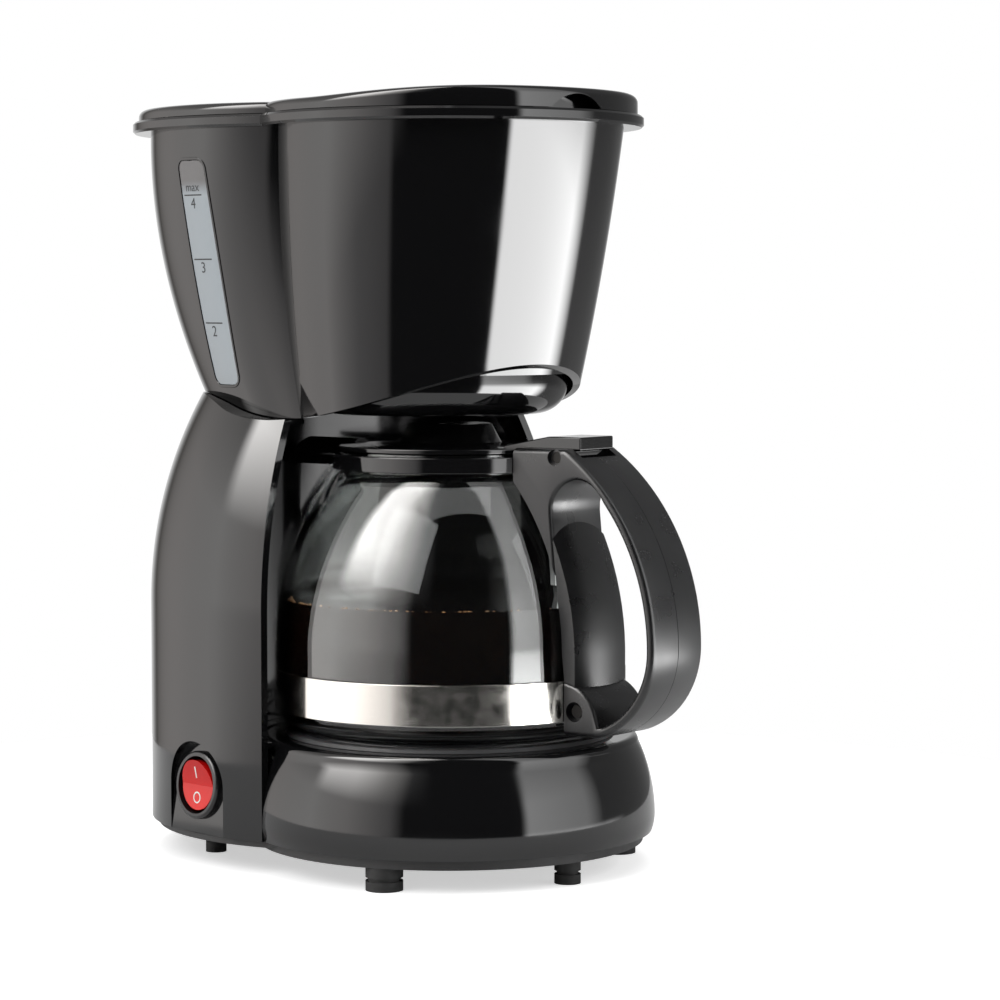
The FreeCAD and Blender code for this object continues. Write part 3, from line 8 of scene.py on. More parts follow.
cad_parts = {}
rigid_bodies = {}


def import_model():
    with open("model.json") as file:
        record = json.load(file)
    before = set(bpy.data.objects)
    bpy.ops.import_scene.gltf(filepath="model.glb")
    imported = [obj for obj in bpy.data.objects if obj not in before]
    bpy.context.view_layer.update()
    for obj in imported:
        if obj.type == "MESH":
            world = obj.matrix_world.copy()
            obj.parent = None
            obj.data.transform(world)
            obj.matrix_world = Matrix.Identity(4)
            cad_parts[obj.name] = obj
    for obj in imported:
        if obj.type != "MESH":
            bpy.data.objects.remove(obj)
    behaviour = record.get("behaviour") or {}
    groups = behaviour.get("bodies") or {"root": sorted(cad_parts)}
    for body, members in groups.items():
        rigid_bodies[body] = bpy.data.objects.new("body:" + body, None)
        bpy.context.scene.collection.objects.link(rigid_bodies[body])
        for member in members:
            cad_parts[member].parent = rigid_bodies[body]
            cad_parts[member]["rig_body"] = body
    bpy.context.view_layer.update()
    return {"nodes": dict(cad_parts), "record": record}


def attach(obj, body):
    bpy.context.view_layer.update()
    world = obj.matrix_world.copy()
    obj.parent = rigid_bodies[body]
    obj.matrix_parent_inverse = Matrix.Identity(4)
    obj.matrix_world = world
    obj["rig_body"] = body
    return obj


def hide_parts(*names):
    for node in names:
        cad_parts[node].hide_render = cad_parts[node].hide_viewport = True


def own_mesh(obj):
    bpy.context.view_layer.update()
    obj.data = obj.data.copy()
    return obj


# A four-cup drip coffee maker in glossy black plastic, with a glass carafe, dressed over its CAD frame.
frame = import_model()
scene = bpy.context.scene

# Sizes below are in millimetres about the brew axis, the upright through the carafe and the filter basket.
axisY = -23.53
toFrame = Matrix.Translation((0, axisY / 1000, 0)) @ Matrix.Scale(0.001, 4)
carafeTurn = Matrix.Rotation(math.radians(11), 4, "Z")


def hexColor(text):
    parts = [int(text[i:i + 2], 16) / 255 for i in (1, 3, 5)]
    return tuple(p / 12.92 if p <= 0.04045 else ((p + 0.055) / 1.055) ** 2.4 for p in parts) + (1.0,)


def addNode(tree, kind, settings={}, links={}):
    made = tree.nodes.new(kind)
    for name, value in settings.items():
        if isinstance(name, int) or name in made.inputs:
            made.inputs[name].default_value = value
        else:
            setattr(made, name, value)
    for name, (source, output) in links.items():
        tree.links.new(source.outputs[output], made.inputs[name])
    return made


def newMaterial(name, settings, gloss=None, grain=None):
    # gloss: a cloudy change in roughness (size, low, high); grain: a fine bump (size, depth, strength)
    material = bpy.data.materials.new(name)
    material.use_nodes = True
    tree = material.node_tree
    tree.nodes.clear()
    shader = addNode(tree, "ShaderNodeBsdfPrincipled", settings)
    addNode(tree, "ShaderNodeOutputMaterial", {}, {"Surface": (shader, "BSDF")})
    place = addNode(tree, "ShaderNodeTexCoord")
    if gloss:
        size, low, high = gloss
        cloud = addNode(tree, "ShaderNodeTexNoise", {"Scale": 1000 / size, "Detail": 3.0},
                        {"Vector": (place, "Object")})
        span = addNode(tree, "ShaderNodeMapRange",
                       {"From Min": 0.3, "From Max": 0.7, "To Min": low, "To Max": high},
                       {"Value": (cloud, "Fac")})
        tree.links.new(span.outputs["Result"], shader.inputs["Roughness"])
    if grain:
        size, depth, strength = grain
        skin = addNode(tree, "ShaderNodeTexNoise", {"Scale": 1000 / size, "Detail": 2.0},
                       {"Vector": (place, "Object")})
        bump = addNode(tree, "ShaderNodeBump", {"Strength": strength, "Distance": depth / 1000},
                       {"Height": (skin, "Fac")})
        tree.links.new(bump.outputs["Normal"], shader.inputs["Normal"])
    return material


def tintByHeight(material, ends, tints, blend="LINEAR"):
    # the base colour passes from the first tint to the second between two heights in metres
    tree = material.node_tree
    place = addNode(tree, "ShaderNodeTexCoord")
    spot = addNode(tree, "ShaderNodeSeparateXYZ", {}, {"Vector": (place, "Object")})
    share = addNode(tree, "ShaderNodeMapRange",
                    {"From Min": ends[0], "From Max": ends[1], "interpolation_type": blend},
                    {"Value": (spot, "Z")})
    tint = addNode(tree, "ShaderNodeMix",
                   {"data_type": "RGBA", 6: hexColor(tints[0]), 7: hexColor(tints[1])},
                   {0: (share, "Result")})
    tree.links.new(tint.outputs[2], tree.nodes["Principled BSDF"].inputs["Base Color"])


# Materials, with the sizes of their patterns in millimetres
glossAbs = newMaterial("polished_black_abs", {  # mould-polished ABS: near-mirror black, with a slow ripple
    "Base Color": hexColor("#0c0c0d"), "IOR": 1.53}, (22, 0.05, 0.09), (14, 0.004, 0.35))
satinAbs = newMaterial("satin_black_abs", {  # finely sparked mould: soft wide highlights
    "Base Color": hexColor("#111112"), "IOR": 1.53}, (12, 0.26, 0.34), (0.7, 0.01, 0.5))
matteAbs = newMaterial("matte_black_abs", {  # grained underside that hardly shines
    "Base Color": hexColor("#161617"), "IOR": 1.53}, (8, 0.45, 0.55), (0.9, 0.02, 0.6))
rubber = newMaterial("black_rubber", {  # dull moulded rubber
    "Base Color": hexColor("#0b0b0b"), "IOR": 1.52}, (4, 0.6, 0.75), (0.6, 0.02, 0.7))
jugGlass = newMaterial("borosilicate_glass", {  # blown clear glass, very slightly wavy
    "Base Color": hexColor("#fbfdfc"), "IOR": 1.47, "Transmission Weight": 1.0, "Roughness": 0.0},
    grain=(26, 0.006, 0.3))
plateCoat = newMaterial("non_stick_coating", {  # dark baked coating with a fine speckle
    "Base Color": hexColor("#2a2a2b"), "IOR": 1.45}, (3, 0.32, 0.45), (0.8, 0.015, 0.6))
aluminium = newMaterial("cast_aluminium", {  # pale grey casting with a sandy skin
    "Base Color": hexColor("#b9babb"), "Metallic": 1.0}, (3, 0.35, 0.5), (0.8, 0.03, 0.8))
brass = newMaterial("turned_brass", {  # yellow contact tabs
    "Base Color": hexColor("#c9a25a"), "Metallic": 1.0}, (2, 0.2, 0.32))
silicone = newMaterial("grey_silicone", {  # soft translucent rubber
    "Base Color": hexColor("#3c3c3d"), "IOR": 1.41, "Subsurface Weight": 0.1, "Subsurface Scale": 0.002},
    (3, 0.5, 0.62))
ceramic = newMaterial("white_ceramic", {  # glazed fuse body
    "Base Color": hexColor("#e6e3dc"), "IOR": 1.5}, (2, 0.25, 0.35))
whitePrint = newMaterial("white_pad_print", {  # flat ink on the rocker
    "Base Color": hexColor("#eceae6"), "IOR": 1.5}, (1, 0.45, 0.6))
darkPrint = newMaterial("dark_pad_print", {  # ink on the window
    "Base Color": hexColor("#14171a"), "IOR": 1.5}, (1, 0.45, 0.6))
coffeeBrew = newMaterial("brewed_coffee", {  # almost black in this depth
    "Base Color": hexColor("#0b0503"), "IOR": 1.34}, (9, 0.03, 0.06))
foam = newMaterial("coffee_foam", {  # tan bubbles at the edge of the coffee
    "Base Color": hexColor("#a9805a"), "IOR": 1.34, "Transmission Weight": 0.4}, (2, 0.1, 0.2))
holeShadeSteel = newMaterial("steel_painted_hole_shade", {  # steel painted dark for the shade inside the pin's and screw's holes
    "Base Color": hexColor("#2b2a29"), "Metallic": 1.0}, (2, 0.4, 0.5))

windowPlastic = newMaterial("frosted_clear_styrene", {  # milky pane, with painted light below the water line and painted shade above it
    "IOR": 1.57, "Coat Weight": 0.5, "Coat Roughness": 0.06}, (5, 0.3, 0.4))
# painted light and shade: the pane is tinted pale below 227.5 mm for the light through the water behind it,
# and dark above 233.5 mm for the shade inside the empty tank
tintByHeight(windowPlastic, (0.2335, 0.2275), ("#3b3a3b", "#8d969c"), "SMOOTHSTEP")

redRocker = newMaterial("translucent_red_polycarbonate", {  # red plastic with painted light: lighter on its lower half, where the light falls, deep red above
    "IOR": 1.49, "Specular IOR Level": 0.3, "Subsurface Weight": 0.15, "Subsurface Scale": 0.002},
    (3, 0.12, 0.2))
# painted light: the base colour is lighter red at 20 mm and deeper red at 36 mm, for how the light falls on
# the rocker
tintByHeight(redRocker, (0.020, 0.036), ("#e61c14", "#bc0a0a"))

steel = newMaterial("bright_stainless_steel", {  # rolled strip, polished along its length
    "Base Color": hexColor("#d4d1cb"), "Metallic": 1.0}, (6, 0.1, 0.2))
tree = steel.node_tree
place = addNode(tree, "ShaderNodeTexCoord")
along = addNode(tree, "ShaderNodeMapping", {"Scale": (40, 40, 3300)},  # scratches 25 mm long, 0.3 mm apart
                {"Vector": (place, "Object")})
scratch = addNode(tree, "ShaderNodeTexNoise", {"Scale": 1.0, "Detail": 2.0}, {"Vector": (along, "Vector")})
bump = addNode(tree, "ShaderNodeBump", {"Strength": 0.25, "Distance": 0.00002}, {"Height": (scratch, "Fac")})
tree.links.new(bump.outputs["Normal"], tree.nodes["Principled BSDF"].inputs["Normal"])
print("materials made")

# The finish of each CAD node that stays as it is, or that is copied with smooth shading
finishes = {
    "black_plastic": glossAbs, "matte_black": matteAbs, "clear_plastic": windowPlastic, "glass": jugGlass,
    "stainless": steel, "dark_plate": plateCoat, "aluminium": aluminium, "brass": brass,
    "black_rubber": rubber, "silicone": silicone, "red_rocker": redRocker, "ceramic_white": ceramic}
slotOf = {entry["node"]: entry["material_slot"] for entry in frame["record"]["subparts"]}
bodyOf = {name: part["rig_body"] for name, part in frame["nodes"].items()}
for name, part in frame["nodes"].items():
    part.data.materials.clear()
    part.data.materials.append(finishes.get(slotOf.get(name), glossAbs))


def newObject(name, data):
    made = bpy.data.objects.new(name, data)
    scene.collection.objects.link(made)
    return made


def toMesh(bm, name):
    mesh = bpy.data.meshes.new(name)
    bm.to_mesh(mesh)
    bm.free()
    return mesh


def smoothCopy(node, material=None):
    # the node's own shape with its triangles joined and smooth shading
    bm = bmesh.new()
    bm.from_mesh(frame["nodes"][node].data)
    bmesh.ops.remove_doubles(bm, verts=bm.verts, dist=0.000002)
    bmesh.ops.dissolve_limit(bm, angle_limit=math.radians(0.4), verts=bm.verts, edges=bm.edges)
    mesh = toMesh(bm, node + "_smooth")
    mesh.shade_smooth()
    mesh.set_sharp_from_angle(angle=math.radians(30))
    mesh.materials.append(material or finishes[slotOf[node]])
    piece = newObject(node + "_smooth", mesh)
    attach(piece, bodyOf[node])
    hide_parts(node)
    return piece


for name in ("base_cover", "side_feet", "front_foot", "rear_feet", "switch_rocker", "cord_gland",
             "basket_seat", "lid_hinge_pin", "filter_basket", "valve_guide", "drip_valve", "water_spout",
             "tank_outlet"):
    smoothCopy(name)
# painted shade: the carafe's hinge pin and handle screw sit in deep holes, and their steel is darkened for
# the shade there
for name in ("carafe_hinge_pin", "handle_screw"):
    smoothCopy(name, holeShadeSteel)
spring = smoothCopy("valve_spring", steel)
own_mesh(spring)
print("plain copies made")


# Building blocks: solids are made in millimetres about the brew axis and brought to the frame at the end
def arcTo(start, end, radius, step):
    # points along an arc after its start, with the centre on the left for a positive radius
    first, last = Vector(start), Vector(end)
    along = last - first
    half = along.length / 2
    rise = math.sqrt(max(radius * radius - half * half, 0.0))
    centre = (first + last) / 2 + Vector((-along.y, along.x)).normalized() * math.copysign(rise, radius)
    sweep = math.copysign(2 * math.asin(min(half / abs(radius), 1.0)), radius)
    count = max(2, math.ceil(math.degrees(abs(sweep)) / step))
    return [centre + Matrix.Rotation(sweep * i / count, 2) @ (first - centre) for i in range(1, count + 1)]


def outline(corners, step=6):
    # each corner is (x, y), or (x, y, radius) where the edge that arrives at it is an arc
    points = []
    for i, corner in enumerate(corners):
        if len(corner) > 2:
            points += arcTo(corners[i - 1][:2], corner[:2], corner[2], step)
        else:
            points.append(Vector(corner))
    return points


def turned(bm, corners, about=0.0, steps=144, step=5, closed=True):
    # a profile of radius and height spun about the upright at about; open profiles start and end on it
    ring = [bm.verts.new((p.x, about, p.y)) for p in outline(corners, step)]
    edges = [bm.edges.new((ring[i - 1], ring[i])) for i in range(0 if closed else 1, len(ring))]
    bmesh.ops.spin(bm, geom=ring + edges, cent=(0, about, 0), axis=(0, 0, 1), angle=2 * math.pi, steps=steps,
                   use_merge=True)


def joinRings(bm, rings, closed):
    # quads between neighbouring rows of points
    for lower, upper in zip(rings, rings[1:]):
        for i in range(0 if closed else 1, len(lower)):
            bm.faces.new((lower[i - 1], lower[i], upper[i], upper[i - 1]))


def capStrips(bm, ring):
    # closes a ring that is alike on both sides with strips from left to right
    count = len(ring)
    for i in range(count // 2):
        corners = [ring[k % count] for k in (i, i + 1, count - i - 1, count - i)]
        bm.faces.new(list(dict.fromkeys(corners)))


def stack(bm, rows, strips=False):
    # closed rows of spots one above the other, with both ends capped
    rings = [[bm.verts.new(spot) for spot in row] for row in rows]
    joinRings(bm, rings, True)
    for ring in (rings[0], rings[-1]):
        if strips:
            capStrips(bm, ring)
        else:
            bm.faces.new(ring)


def thickSheet(bm, sheets):
    # two sheets of rows of spots, joined along every edge
    one, two = [[[bm.verts.new(spot) for spot in row] for row in rows] for rows in sheets]
    for rows in (one, two, (one[0], two[0]), (one[-1], two[-1])):
        joinRings(bm, rows, False)
    for end in (0, -1):
        joinRings(bm, ([row[end] for row in one], [row[end] for row in two]), False)


def shares(count):
    # even steps from 0 to 1
    return [i / count for i in range(count + 1)]


def turnsRound(count):
    # even steps of angle round a circle, without its end
    return [2 * math.pi * i / count for i in range(count)]


def extruded(bm, points, axis, low, high):
    # a flat outline pulled straight along one axis
    spots = {"x": lambda p, h: (h, p.x, p.y), "y": lambda p, h: (p.x, h, p.y),
             "z": lambda p, h: (p.x, p.y, h)}
    stack(bm, [[spots[axis](p, h) for p in points] for h in (low, high)])


def toObject(bm, name):
    bmesh.ops.remove_doubles(bm, verts=bm.verts, dist=0.002)
    bmesh.ops.recalc_face_normals(bm, faces=bm.faces)
    return newObject(name, toMesh(bm, name))


def solid(name, make, *sizes, **more):
    bm = bmesh.new()
    make(bm, *sizes, **more)
    return toObject(bm, name)


def block(name, x, y, z):
    corners = ((x[0], y[0]), (x[1], y[0]), (x[1], y[1]), (x[0], y[1]))
    return solid(name, extruded, outline(corners), "z", *z)


def cylinder(name, spot, radius, axis, low, high):
    points = [Vector(spot) + Matrix.Rotation(turn, 2) @ Vector((radius, 0)) for turn in turnsRound(48)]
    return solid(name, extruded, points, axis, low, high)


def combine(piece, other, operation="DIFFERENCE"):
    # one Boolean step, made at once; the other solid is used up
    change = piece.modifiers.new("combine", "BOOLEAN")
    change.operation = operation
    change.solver = "EXACT"
    change.object = other
    graph = bpy.context.evaluated_depsgraph_get()
    mesh = bpy.data.meshes.new_from_object(piece.evaluated_get(graph))
    piece.modifiers.clear()
    piece.data = mesh
    bpy.data.objects.remove(other)


def finishPiece(piece, body, material, nodes=(), sharp=35, bevel=0.0):
    mesh = piece.data
    mesh.transform(toFrame @ carafeTurn if body in ("carafe", "carafe_lid") else toFrame)
    mesh.shade_smooth()
    mesh.set_sharp_from_angle(angle=math.radians(sharp))
    mesh.materials.clear()
    mesh.materials.append(material)
    if bevel:
        edge = piece.modifiers.new("softEdge", "BEVEL")
        edge.width = bevel / 1000
        edge.segments = 3
        edge.limit_method = "ANGLE"
        edge.angle_limit = math.radians(40)
        edge.harden_normals = True
    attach(piece, body)
    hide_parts(*nodes)


def sag(radius, height):
    # how far an arc that starts upright has leaned over at this height
    return radius - math.sqrt(radius * radius - height * height)


wall = 2.4
far = 150.0  # past the machine's sides
through = 30.0  # past both ends of a small hole
spare = 1.0  # how far a cutter passes the face that it opens

# Round base drum with its deck
drum = {"foot": 69.3, "wide": 70.3, "top": 64.5, "bottom": 11.5, "widest": 17.0, "deck": 44.5, "edge": 2.5,
        "hole": 54.0, "footCurve": 16.0, "curve": 60.0, "back": 17.5}
deckUnder = drum["deck"] - wall
piece = solid("baseDrum", turned, [
    (drum["foot"], drum["bottom"]),
    (drum["wide"], drum["widest"], drum["footCurve"]),
    (drum["top"], drum["deck"] - drum["edge"], drum["curve"]),
    (drum["top"] - drum["edge"], drum["deck"], drum["edge"]),
    (drum["hole"], drum["deck"]),
    (drum["hole"], deckUnder),
    (drum["top"] - wall, deckUnder),
    (drum["wide"] - wall, drum["widest"], wall - drum["curve"]),
    (drum["foot"] - wall, drum["bottom"], wall - drum["footCurve"]),
], steps=180, step=3)
combine(piece, block("drumBack", (-far, far), (drum["back"], far), (0, deckUnder)))
finishPiece(piece, "machine", glossAbs, ["base_shell"], bevel=0.25)

# Warming plate and its seal
plate = {"radius": 51.5, "top": 47.0, "sheet": 1.2, "skirt": 4.5, "edge": 1.8, "seal": 5.0, "sealRise": 1.4,
         "gap": 0.05}
plateIn, plateUnder = plate["radius"] - plate["sheet"], plate["top"] - plate["sheet"]
skirtZ = plate["top"] - plate["skirt"]
piece = solid("warmingPlate", turned, [
    (0, plateUnder), (plateIn, plateUnder), (plateIn, skirtZ), (plate["radius"], skirtZ),
    (plate["radius"], plate["top"] - plate["edge"]),
    (plate["radius"] - plate["edge"], plate["top"], plate["edge"]), (0, plate["top"])], closed=False)
finishPiece(piece, "machine", plateCoat, ["warming_plate"])
sealIn, sealOut = plate["radius"] + plate["gap"], plate["radius"] + plate["seal"]
holeIn, sealTop = drum["hole"] - plate["gap"], drum["deck"] + plate["sealRise"]
piece = solid("plateSeal", turned, [
    (sealIn, deckUnder), (holeIn, deckUnder), (holeIn, drum["deck"]), (sealOut, drum["deck"]),
    (sealOut - plate["sealRise"] / 2, sealTop), (sealIn, sealTop)])
finishPiece(piece, "machine", silicone, ["plate_seal"], bevel=0.3)

# The housing's lower edge in side view: a long arc in front and a step up behind
hemLine = {"low": 152.11, "lowY": 36.5, "front": 179.0, "turnY": 28.0, "run": 26.0, "rise": 4.0}
hemLine["turn"] = hemLine["low"] + sag(hemLine["front"], hemLine["lowY"] - hemLine["turnY"])
hemLine["bend"] = (hemLine["run"] ** 2 + hemLine["rise"] ** 2) / (2 * hemLine["rise"])


def hemAt(y):
    behind = y - hemLine["turnY"]
    if behind < 0:
        return hemLine["low"] + sag(hemLine["front"], hemLine["lowY"] - y)
    if behind < hemLine["run"]:
        return hemLine["turn"] + sag(hemLine["bend"], behind)
    left = max(2 * hemLine["run"] - behind, 0.0)
    return hemLine["turn"] + 2 * hemLine["rise"] - sag(hemLine["bend"], left)


# Round column that draws in under the housing, open in front
column = {"radius": 74.2, "y": 47.5, "front": 17.8, "frontCurve": 457.0, "bottom": 11.5, "flareStart": 87.0,
          "flare": 152.0, "gap": 0.3, "rows": 56, "columns": 120}
settle = 5  # rounds in which a height and the place that depends on it settle


def columnRadius(z, inset=0.0):
    return column["radius"] - inset - sag(column["flare"] - inset, max(z - column["flareStart"], 0.0))


def columnSpot(share, rise, inset):
    # share runs round the back from one front edge to the other, rise from the bottom to the hem
    z = column["bottom"]
    for _ in range(settle):
        front = column["front"] + sag(column["frontCurve"], max(z - column["flareStart"], 0.0))
        radius = columnRadius(z, inset)
        turn = math.acos((front - column["y"]) / radius) * (2 * share - 1)
        y = column["y"] + radius * math.cos(turn)
        z = column["bottom"] + rise * (hemAt(y) - column["gap"] - column["bottom"])
    return radius * math.sin(turn), y, z


def columnWall(bm):
    # outside and inside skins
    thickSheet(bm, [[[columnSpot(share, rise, inset) for share in shares(column["columns"])]
                     for rise in shares(column["rows"])] for inset in (0.0, wall)])


# A ledge that closes the top of the column inwards, to under the housing's lower edge
ledge = {"drop": 0.05, "thick": 1.6, "inset": 2.2, "shares": (1.0, 0.94, 0.88, 0.82)}


def ledgeSpot(share, inwards, drop):
    x, y, _ = columnSpot(share, 1.0, ledge["inset"])
    y = column["y"] + (y - column["y"]) * inwards
    return x * inwards, y, hemAt(y) - column["gap"] - drop


def columnShelf(bm):
    drops = (ledge["drop"], ledge["drop"] + ledge["thick"])
    thickSheet(bm, [[[ledgeSpot(share, inwards, drop) for share in shares(column["columns"])]
                     for inwards in ledge["shares"]] for drop in drops])


# Arch facet on the column's side for the switch
switchPlace = Matrix.Translation((-71.0, 47.8, 27.7)) @ Matrix.Rotation(math.radians(5.2 - 90), 4, "Y")
facet = {"radius": 14.8, "drop": 21.2, "depth": 12.0, "boss": 4.8, "cut": 20.0, "inset": 0.05, "top": 80.0,
         "hole": 10.65, "holeTop": 5.0}


def archSolid(name, radius, low, high):
    piece = solid(name, extruded, outline([
        (-facet["drop"], -radius), (0, -radius), (radius, 0, radius), (0, radius, radius),
        (-facet["drop"], radius)], step=4), "z", low, high)
    piece.data.transform(switchPlace)
    return piece


finishPiece(solid("columnLedge", columnShelf), "machine", glossAbs, ["column_shell"])
piece = solid("columnShell", columnWall)
combine(piece, archSolid("facetCut", facet["radius"], -facet["cut"], facet["depth"]))
finishPiece(piece, "machine", glossAbs, ["column_shell"], bevel=0.35)
piece = archSolid("switchFacet", facet["radius"] + wall, -facet["boss"], facet["depth"])
inColumn = column["radius"] - facet["inset"]
combine(piece, solid("columnBlank", turned, [
    (0, column["bottom"]), (inColumn, column["bottom"]), (inColumn, facet["top"]), (0, facet["top"])],
    about=column["y"], closed=False), "INTERSECT")
combine(piece, archSolid("facetHollow", facet["radius"], 0.0, facet["depth"]))
barrel = cylinder("barrelHole", (0, 0), facet["hole"], "z", -through, facet["holeTop"])
barrel.data.transform(switchPlace)
combine(piece, barrel)
finishPiece(piece, "machine", glossAbs, ["column_shell"], bevel=0.2)

# Concave panel behind the carafe, with a shelf at the deck
panel = {"radius": 70.0, "shelf": 64.8, "inset": 2.7, "rows": 44, "columns": 72}


def panelSpot(share, z, radius, rise=None):
    # rise, where given, is the share of the way from z up to the hem
    low = z
    for _ in range(settle):
        inside = columnRadius(z, panel["inset"])
        reach = (panel["radius"] ** 2 + column["y"] ** 2 - inside ** 2) / (2 * panel["radius"] * column["y"])
        turn = math.acos(reach) * (2 * share - 1)
        y = radius * math.cos(turn)
        if rise is not None:
            z = low + rise * (hemAt(y) - 2 * column["gap"] - low)
    return radius * math.sin(turn), y, z


def panelSheet(bm):
    across = shares(panel["columns"])
    sheets = []
    for shelfZ, outer in ((drum["deck"], panel["radius"]), (deckUnder, panel["radius"] + wall)):
        rows = [[panelSpot(share, shelfZ, radius) for share in across] for radius in (panel["shelf"], outer)]
        rows += [[panelSpot(share, shelfZ, outer, rise) for share in across]
                 for rise in shares(panel["rows"])[1:]]
        sheets.append(rows)
    thickSheet(bm, sheets)


finishPiece(solid("columnFrontPanel", panelSheet), "machine", glossAbs, ["column_front_panel"], bevel=0.3)
print("base and column made")

# Figure-8 housing: a front and a rear circle at three levels, curved between them
housing = {"levels": (149.11, 204.11, 254.41), "frontR": (47.6, 55.3, 59.6), "frontY": (9.2, 4.5, 0.0),
           "rearR": (49.4, 58.4, 63.5), "rearY": (48.2, 65.0, 64.0), "waist": (25.0, 30.0, 26.0),
           "round": 3.0, "rimLow": 250.41, "rimTop": 254.41, "lip": 6.3, "lipEdge": 0.8, "tankFloor": 165.91,
           "partition": 241.41, "under": 140.0, "over": 4.0, "rows": 48, "frontSteps": 44, "edgeSteps": 6,
           "rearSteps": 56, "lobeRows": 24, "lobeSteps": 120}


def sizeAt(name, z):
    # the curve through a size's three levels
    low, mid, top = housing["levels"]
    first, second, third = housing[name]
    return (first * (z - mid) * (z - top) / ((low - mid) * (low - top))
            + second * (z - low) * (z - top) / ((mid - low) * (mid - top))
            + third * (z - low) * (z - mid) / ((top - low) * (top - mid)))


def eightSpot(z, step):
    # right half of the plan, from the front tip to the back: front arc, rounded end, rear arc
    radius, y, waist = sizeAt("frontR", z), sizeAt("frontY", z), sizeAt("waist", z)
    rear, rearY = sizeAt("rearR", z), sizeAt("rearY", z)
    edge = housing["round"]
    down = waist - edge - y
    across = math.sqrt((radius - edge) ** 2 - down ** 2)
    start = math.atan2(down, across)
    if step <= housing["frontSteps"]:
        turn = (math.pi / 2 + start) * step / housing["frontSteps"]
        return radius * math.sin(turn), y - radius * math.cos(turn)

    def onEdge(turn):
        return across + edge * math.cos(turn), waist - edge + edge * math.sin(turn)

    # the rounded end stops where it meets the rear circle, or runs straight in to it
    low, high = start, math.pi / 2
    meets = math.dist(onEdge(high), (0, rearY)) < rear
    for _ in range(30 if meets else 0):
        half = (low + high) / 2
        low, high = (half, high) if math.dist(onEdge(half), (0, rearY)) > rear else (low, half)
    crease = onEdge(high) if meets else (math.sqrt(rear ** 2 - (waist - rearY) ** 2), waist)
    step -= housing["frontSteps"]
    if step <= housing["edgeSteps"]:
        return onEdge(start + (high - start) * step / housing["edgeSteps"])
    step -= housing["edgeSteps"] + 1
    first = math.atan2(crease[0], rearY - crease[1])
    turn = first + (math.pi - first) * step / housing["rearSteps"]
    return rear * math.sin(turn), rearY - rear * math.cos(turn)


def twoCircles(radius, rear, rearY, share):
    # right half of two circles, from the front tip (0) over the corner where they meet (1) to the back (2)
    cornerY = (radius ** 2 - rear ** 2 + rearY ** 2) / (2 * rearY)
    if share <= 1:
        turn = (math.pi - math.acos(cornerY / radius)) * share
        return radius * math.sin(turn), -radius * math.cos(turn)
    first = math.acos((rearY - cornerY) / rear)
    turn = first + (math.pi - first) * (share - 1)
    return rear * math.sin(turn), rearY - rear * math.cos(turn)


cornerStep = housing["frontSteps"] + housing["edgeSteps"] + 1
stepCount = cornerStep + housing["rearSteps"] + 1


def rimSpot(inset, step):
    # the rim's lip, wider than the housing
    share = step / cornerStep if step <= cornerStep else 1 + (step - cornerStep) / housing["rearSteps"]
    front, rear = (housing[name][2] + housing["lip"] - inset for name in ("frontR", "rearR"))
    return twoCircles(front, rear, housing["rearY"][2], share)


def bothSides(half):
    # a closed ring from the points of its right half, which start and end on the middle line
    return half + [(-x, y, z) for x, y, z in half[-2:0:-1]]


def housingBlank(bm):
    rows = []
    for j in range(housing["rows"] + 1):
        half = []
        for step in range(stepCount):
            z = hemLine["low"]
            for _ in range(settle):
                x, y = eightSpot(z, step)
                z = hemAt(y) + (housing["rimLow"] - hemAt(y)) * j / housing["rows"]
            half.append((x, y, z))
        rows.append(bothSides(half))
    lip = housing["lipEdge"]
    for inset, z in ((lip, housing["rimLow"]), (0, housing["rimLow"] + lip), (0, housing["rimTop"] - lip),
                     (lip, housing["rimTop"])):
        rows.append(bothSides([rimSpot(inset, step) + (z,) for step in range(stepCount)]))
    stack(bm, rows, strips=True)


def lobe(bm, which, inset, low, high):
    # one round tub through the levels
    rows = []
    turns = turnsRound(housing["lobeSteps"])
    for j in range(housing["lobeRows"] + 1):
        z = low + (high - low) * j / housing["lobeRows"]
        radius, y = sizeAt(which + "R", z) - inset, sizeAt(which + "Y", z)
        rows.append([(radius * math.sin(turn), y - radius * math.cos(turn), z) for turn in turns])
    stack(bm, rows)


# Slanted level window in the tank's left side, with a low moulded lip round its slot
window = {"width": 13.4, "top": 240.0, "bottom": 163.2, "topY": 63.96, "bottomY": 56.68, "corner": 3.2,
          "gap": 0.15, "cutOut": 2.0, "cutIn": 0.3, "lipWidth": 0.9, "lipProud": 0.3, "lipSunk": 0.8,
          "cornerSteps": 8, "sideSteps": 12, "acrossSteps": 10}


def tankSpot(y, z, proud):
    # a spot this far outside the tank's left side
    return -math.sqrt((sizeAt("rearR", z) + proud) ** 2 - (y - sizeAt("rearY", z)) ** 2), y, z


def windowMiddle(z, low=window["bottom"], high=window["top"]):
    # the slot's middle line, which leans back as it rises
    return window["bottomY"] + (window["topY"] - window["bottomY"]) * (z - low) / (high - low)


def windowEdge(grow):
    # the leaning slot in side view, as rows of (y low, y high, z) from bottom to top
    half, corner = window["width"] / 2 + grow, window["corner"] + grow
    low, high = window["bottom"] - grow, window["top"] + grow
    ends = [corner * (1 - math.cos(math.pi / 2 * share)) for share in shares(window["cornerSteps"])]
    sides = window["sideSteps"]
    heights = [low + e for e in ends]
    heights += [low + corner + (high - low - 2 * corner) * i / sides for i in range(1, sides)]
    heights += [high - e for e in reversed(ends)]
    rows = []
    for z in heights:
        near = max(corner - min(z - low, high - z), 0.0)
        reach = half - corner + math.sqrt(max(corner ** 2 - near ** 2, 0.0))
        y = windowMiddle(z, low, high)
        rows.append((y - reach, y + reach, z))
    return rows


def windowPane(bm, outside, inside, grow):
    # follows the rear circle between two depths in the wall
    count = window["acrossSteps"]
    thickSheet(bm, [[[tankSpot(low + (high - low) * i / count, z, -inset) for i in range(count + 1)]
                     for low, high, z in windowEdge(grow)] for inset in (outside, inside)])


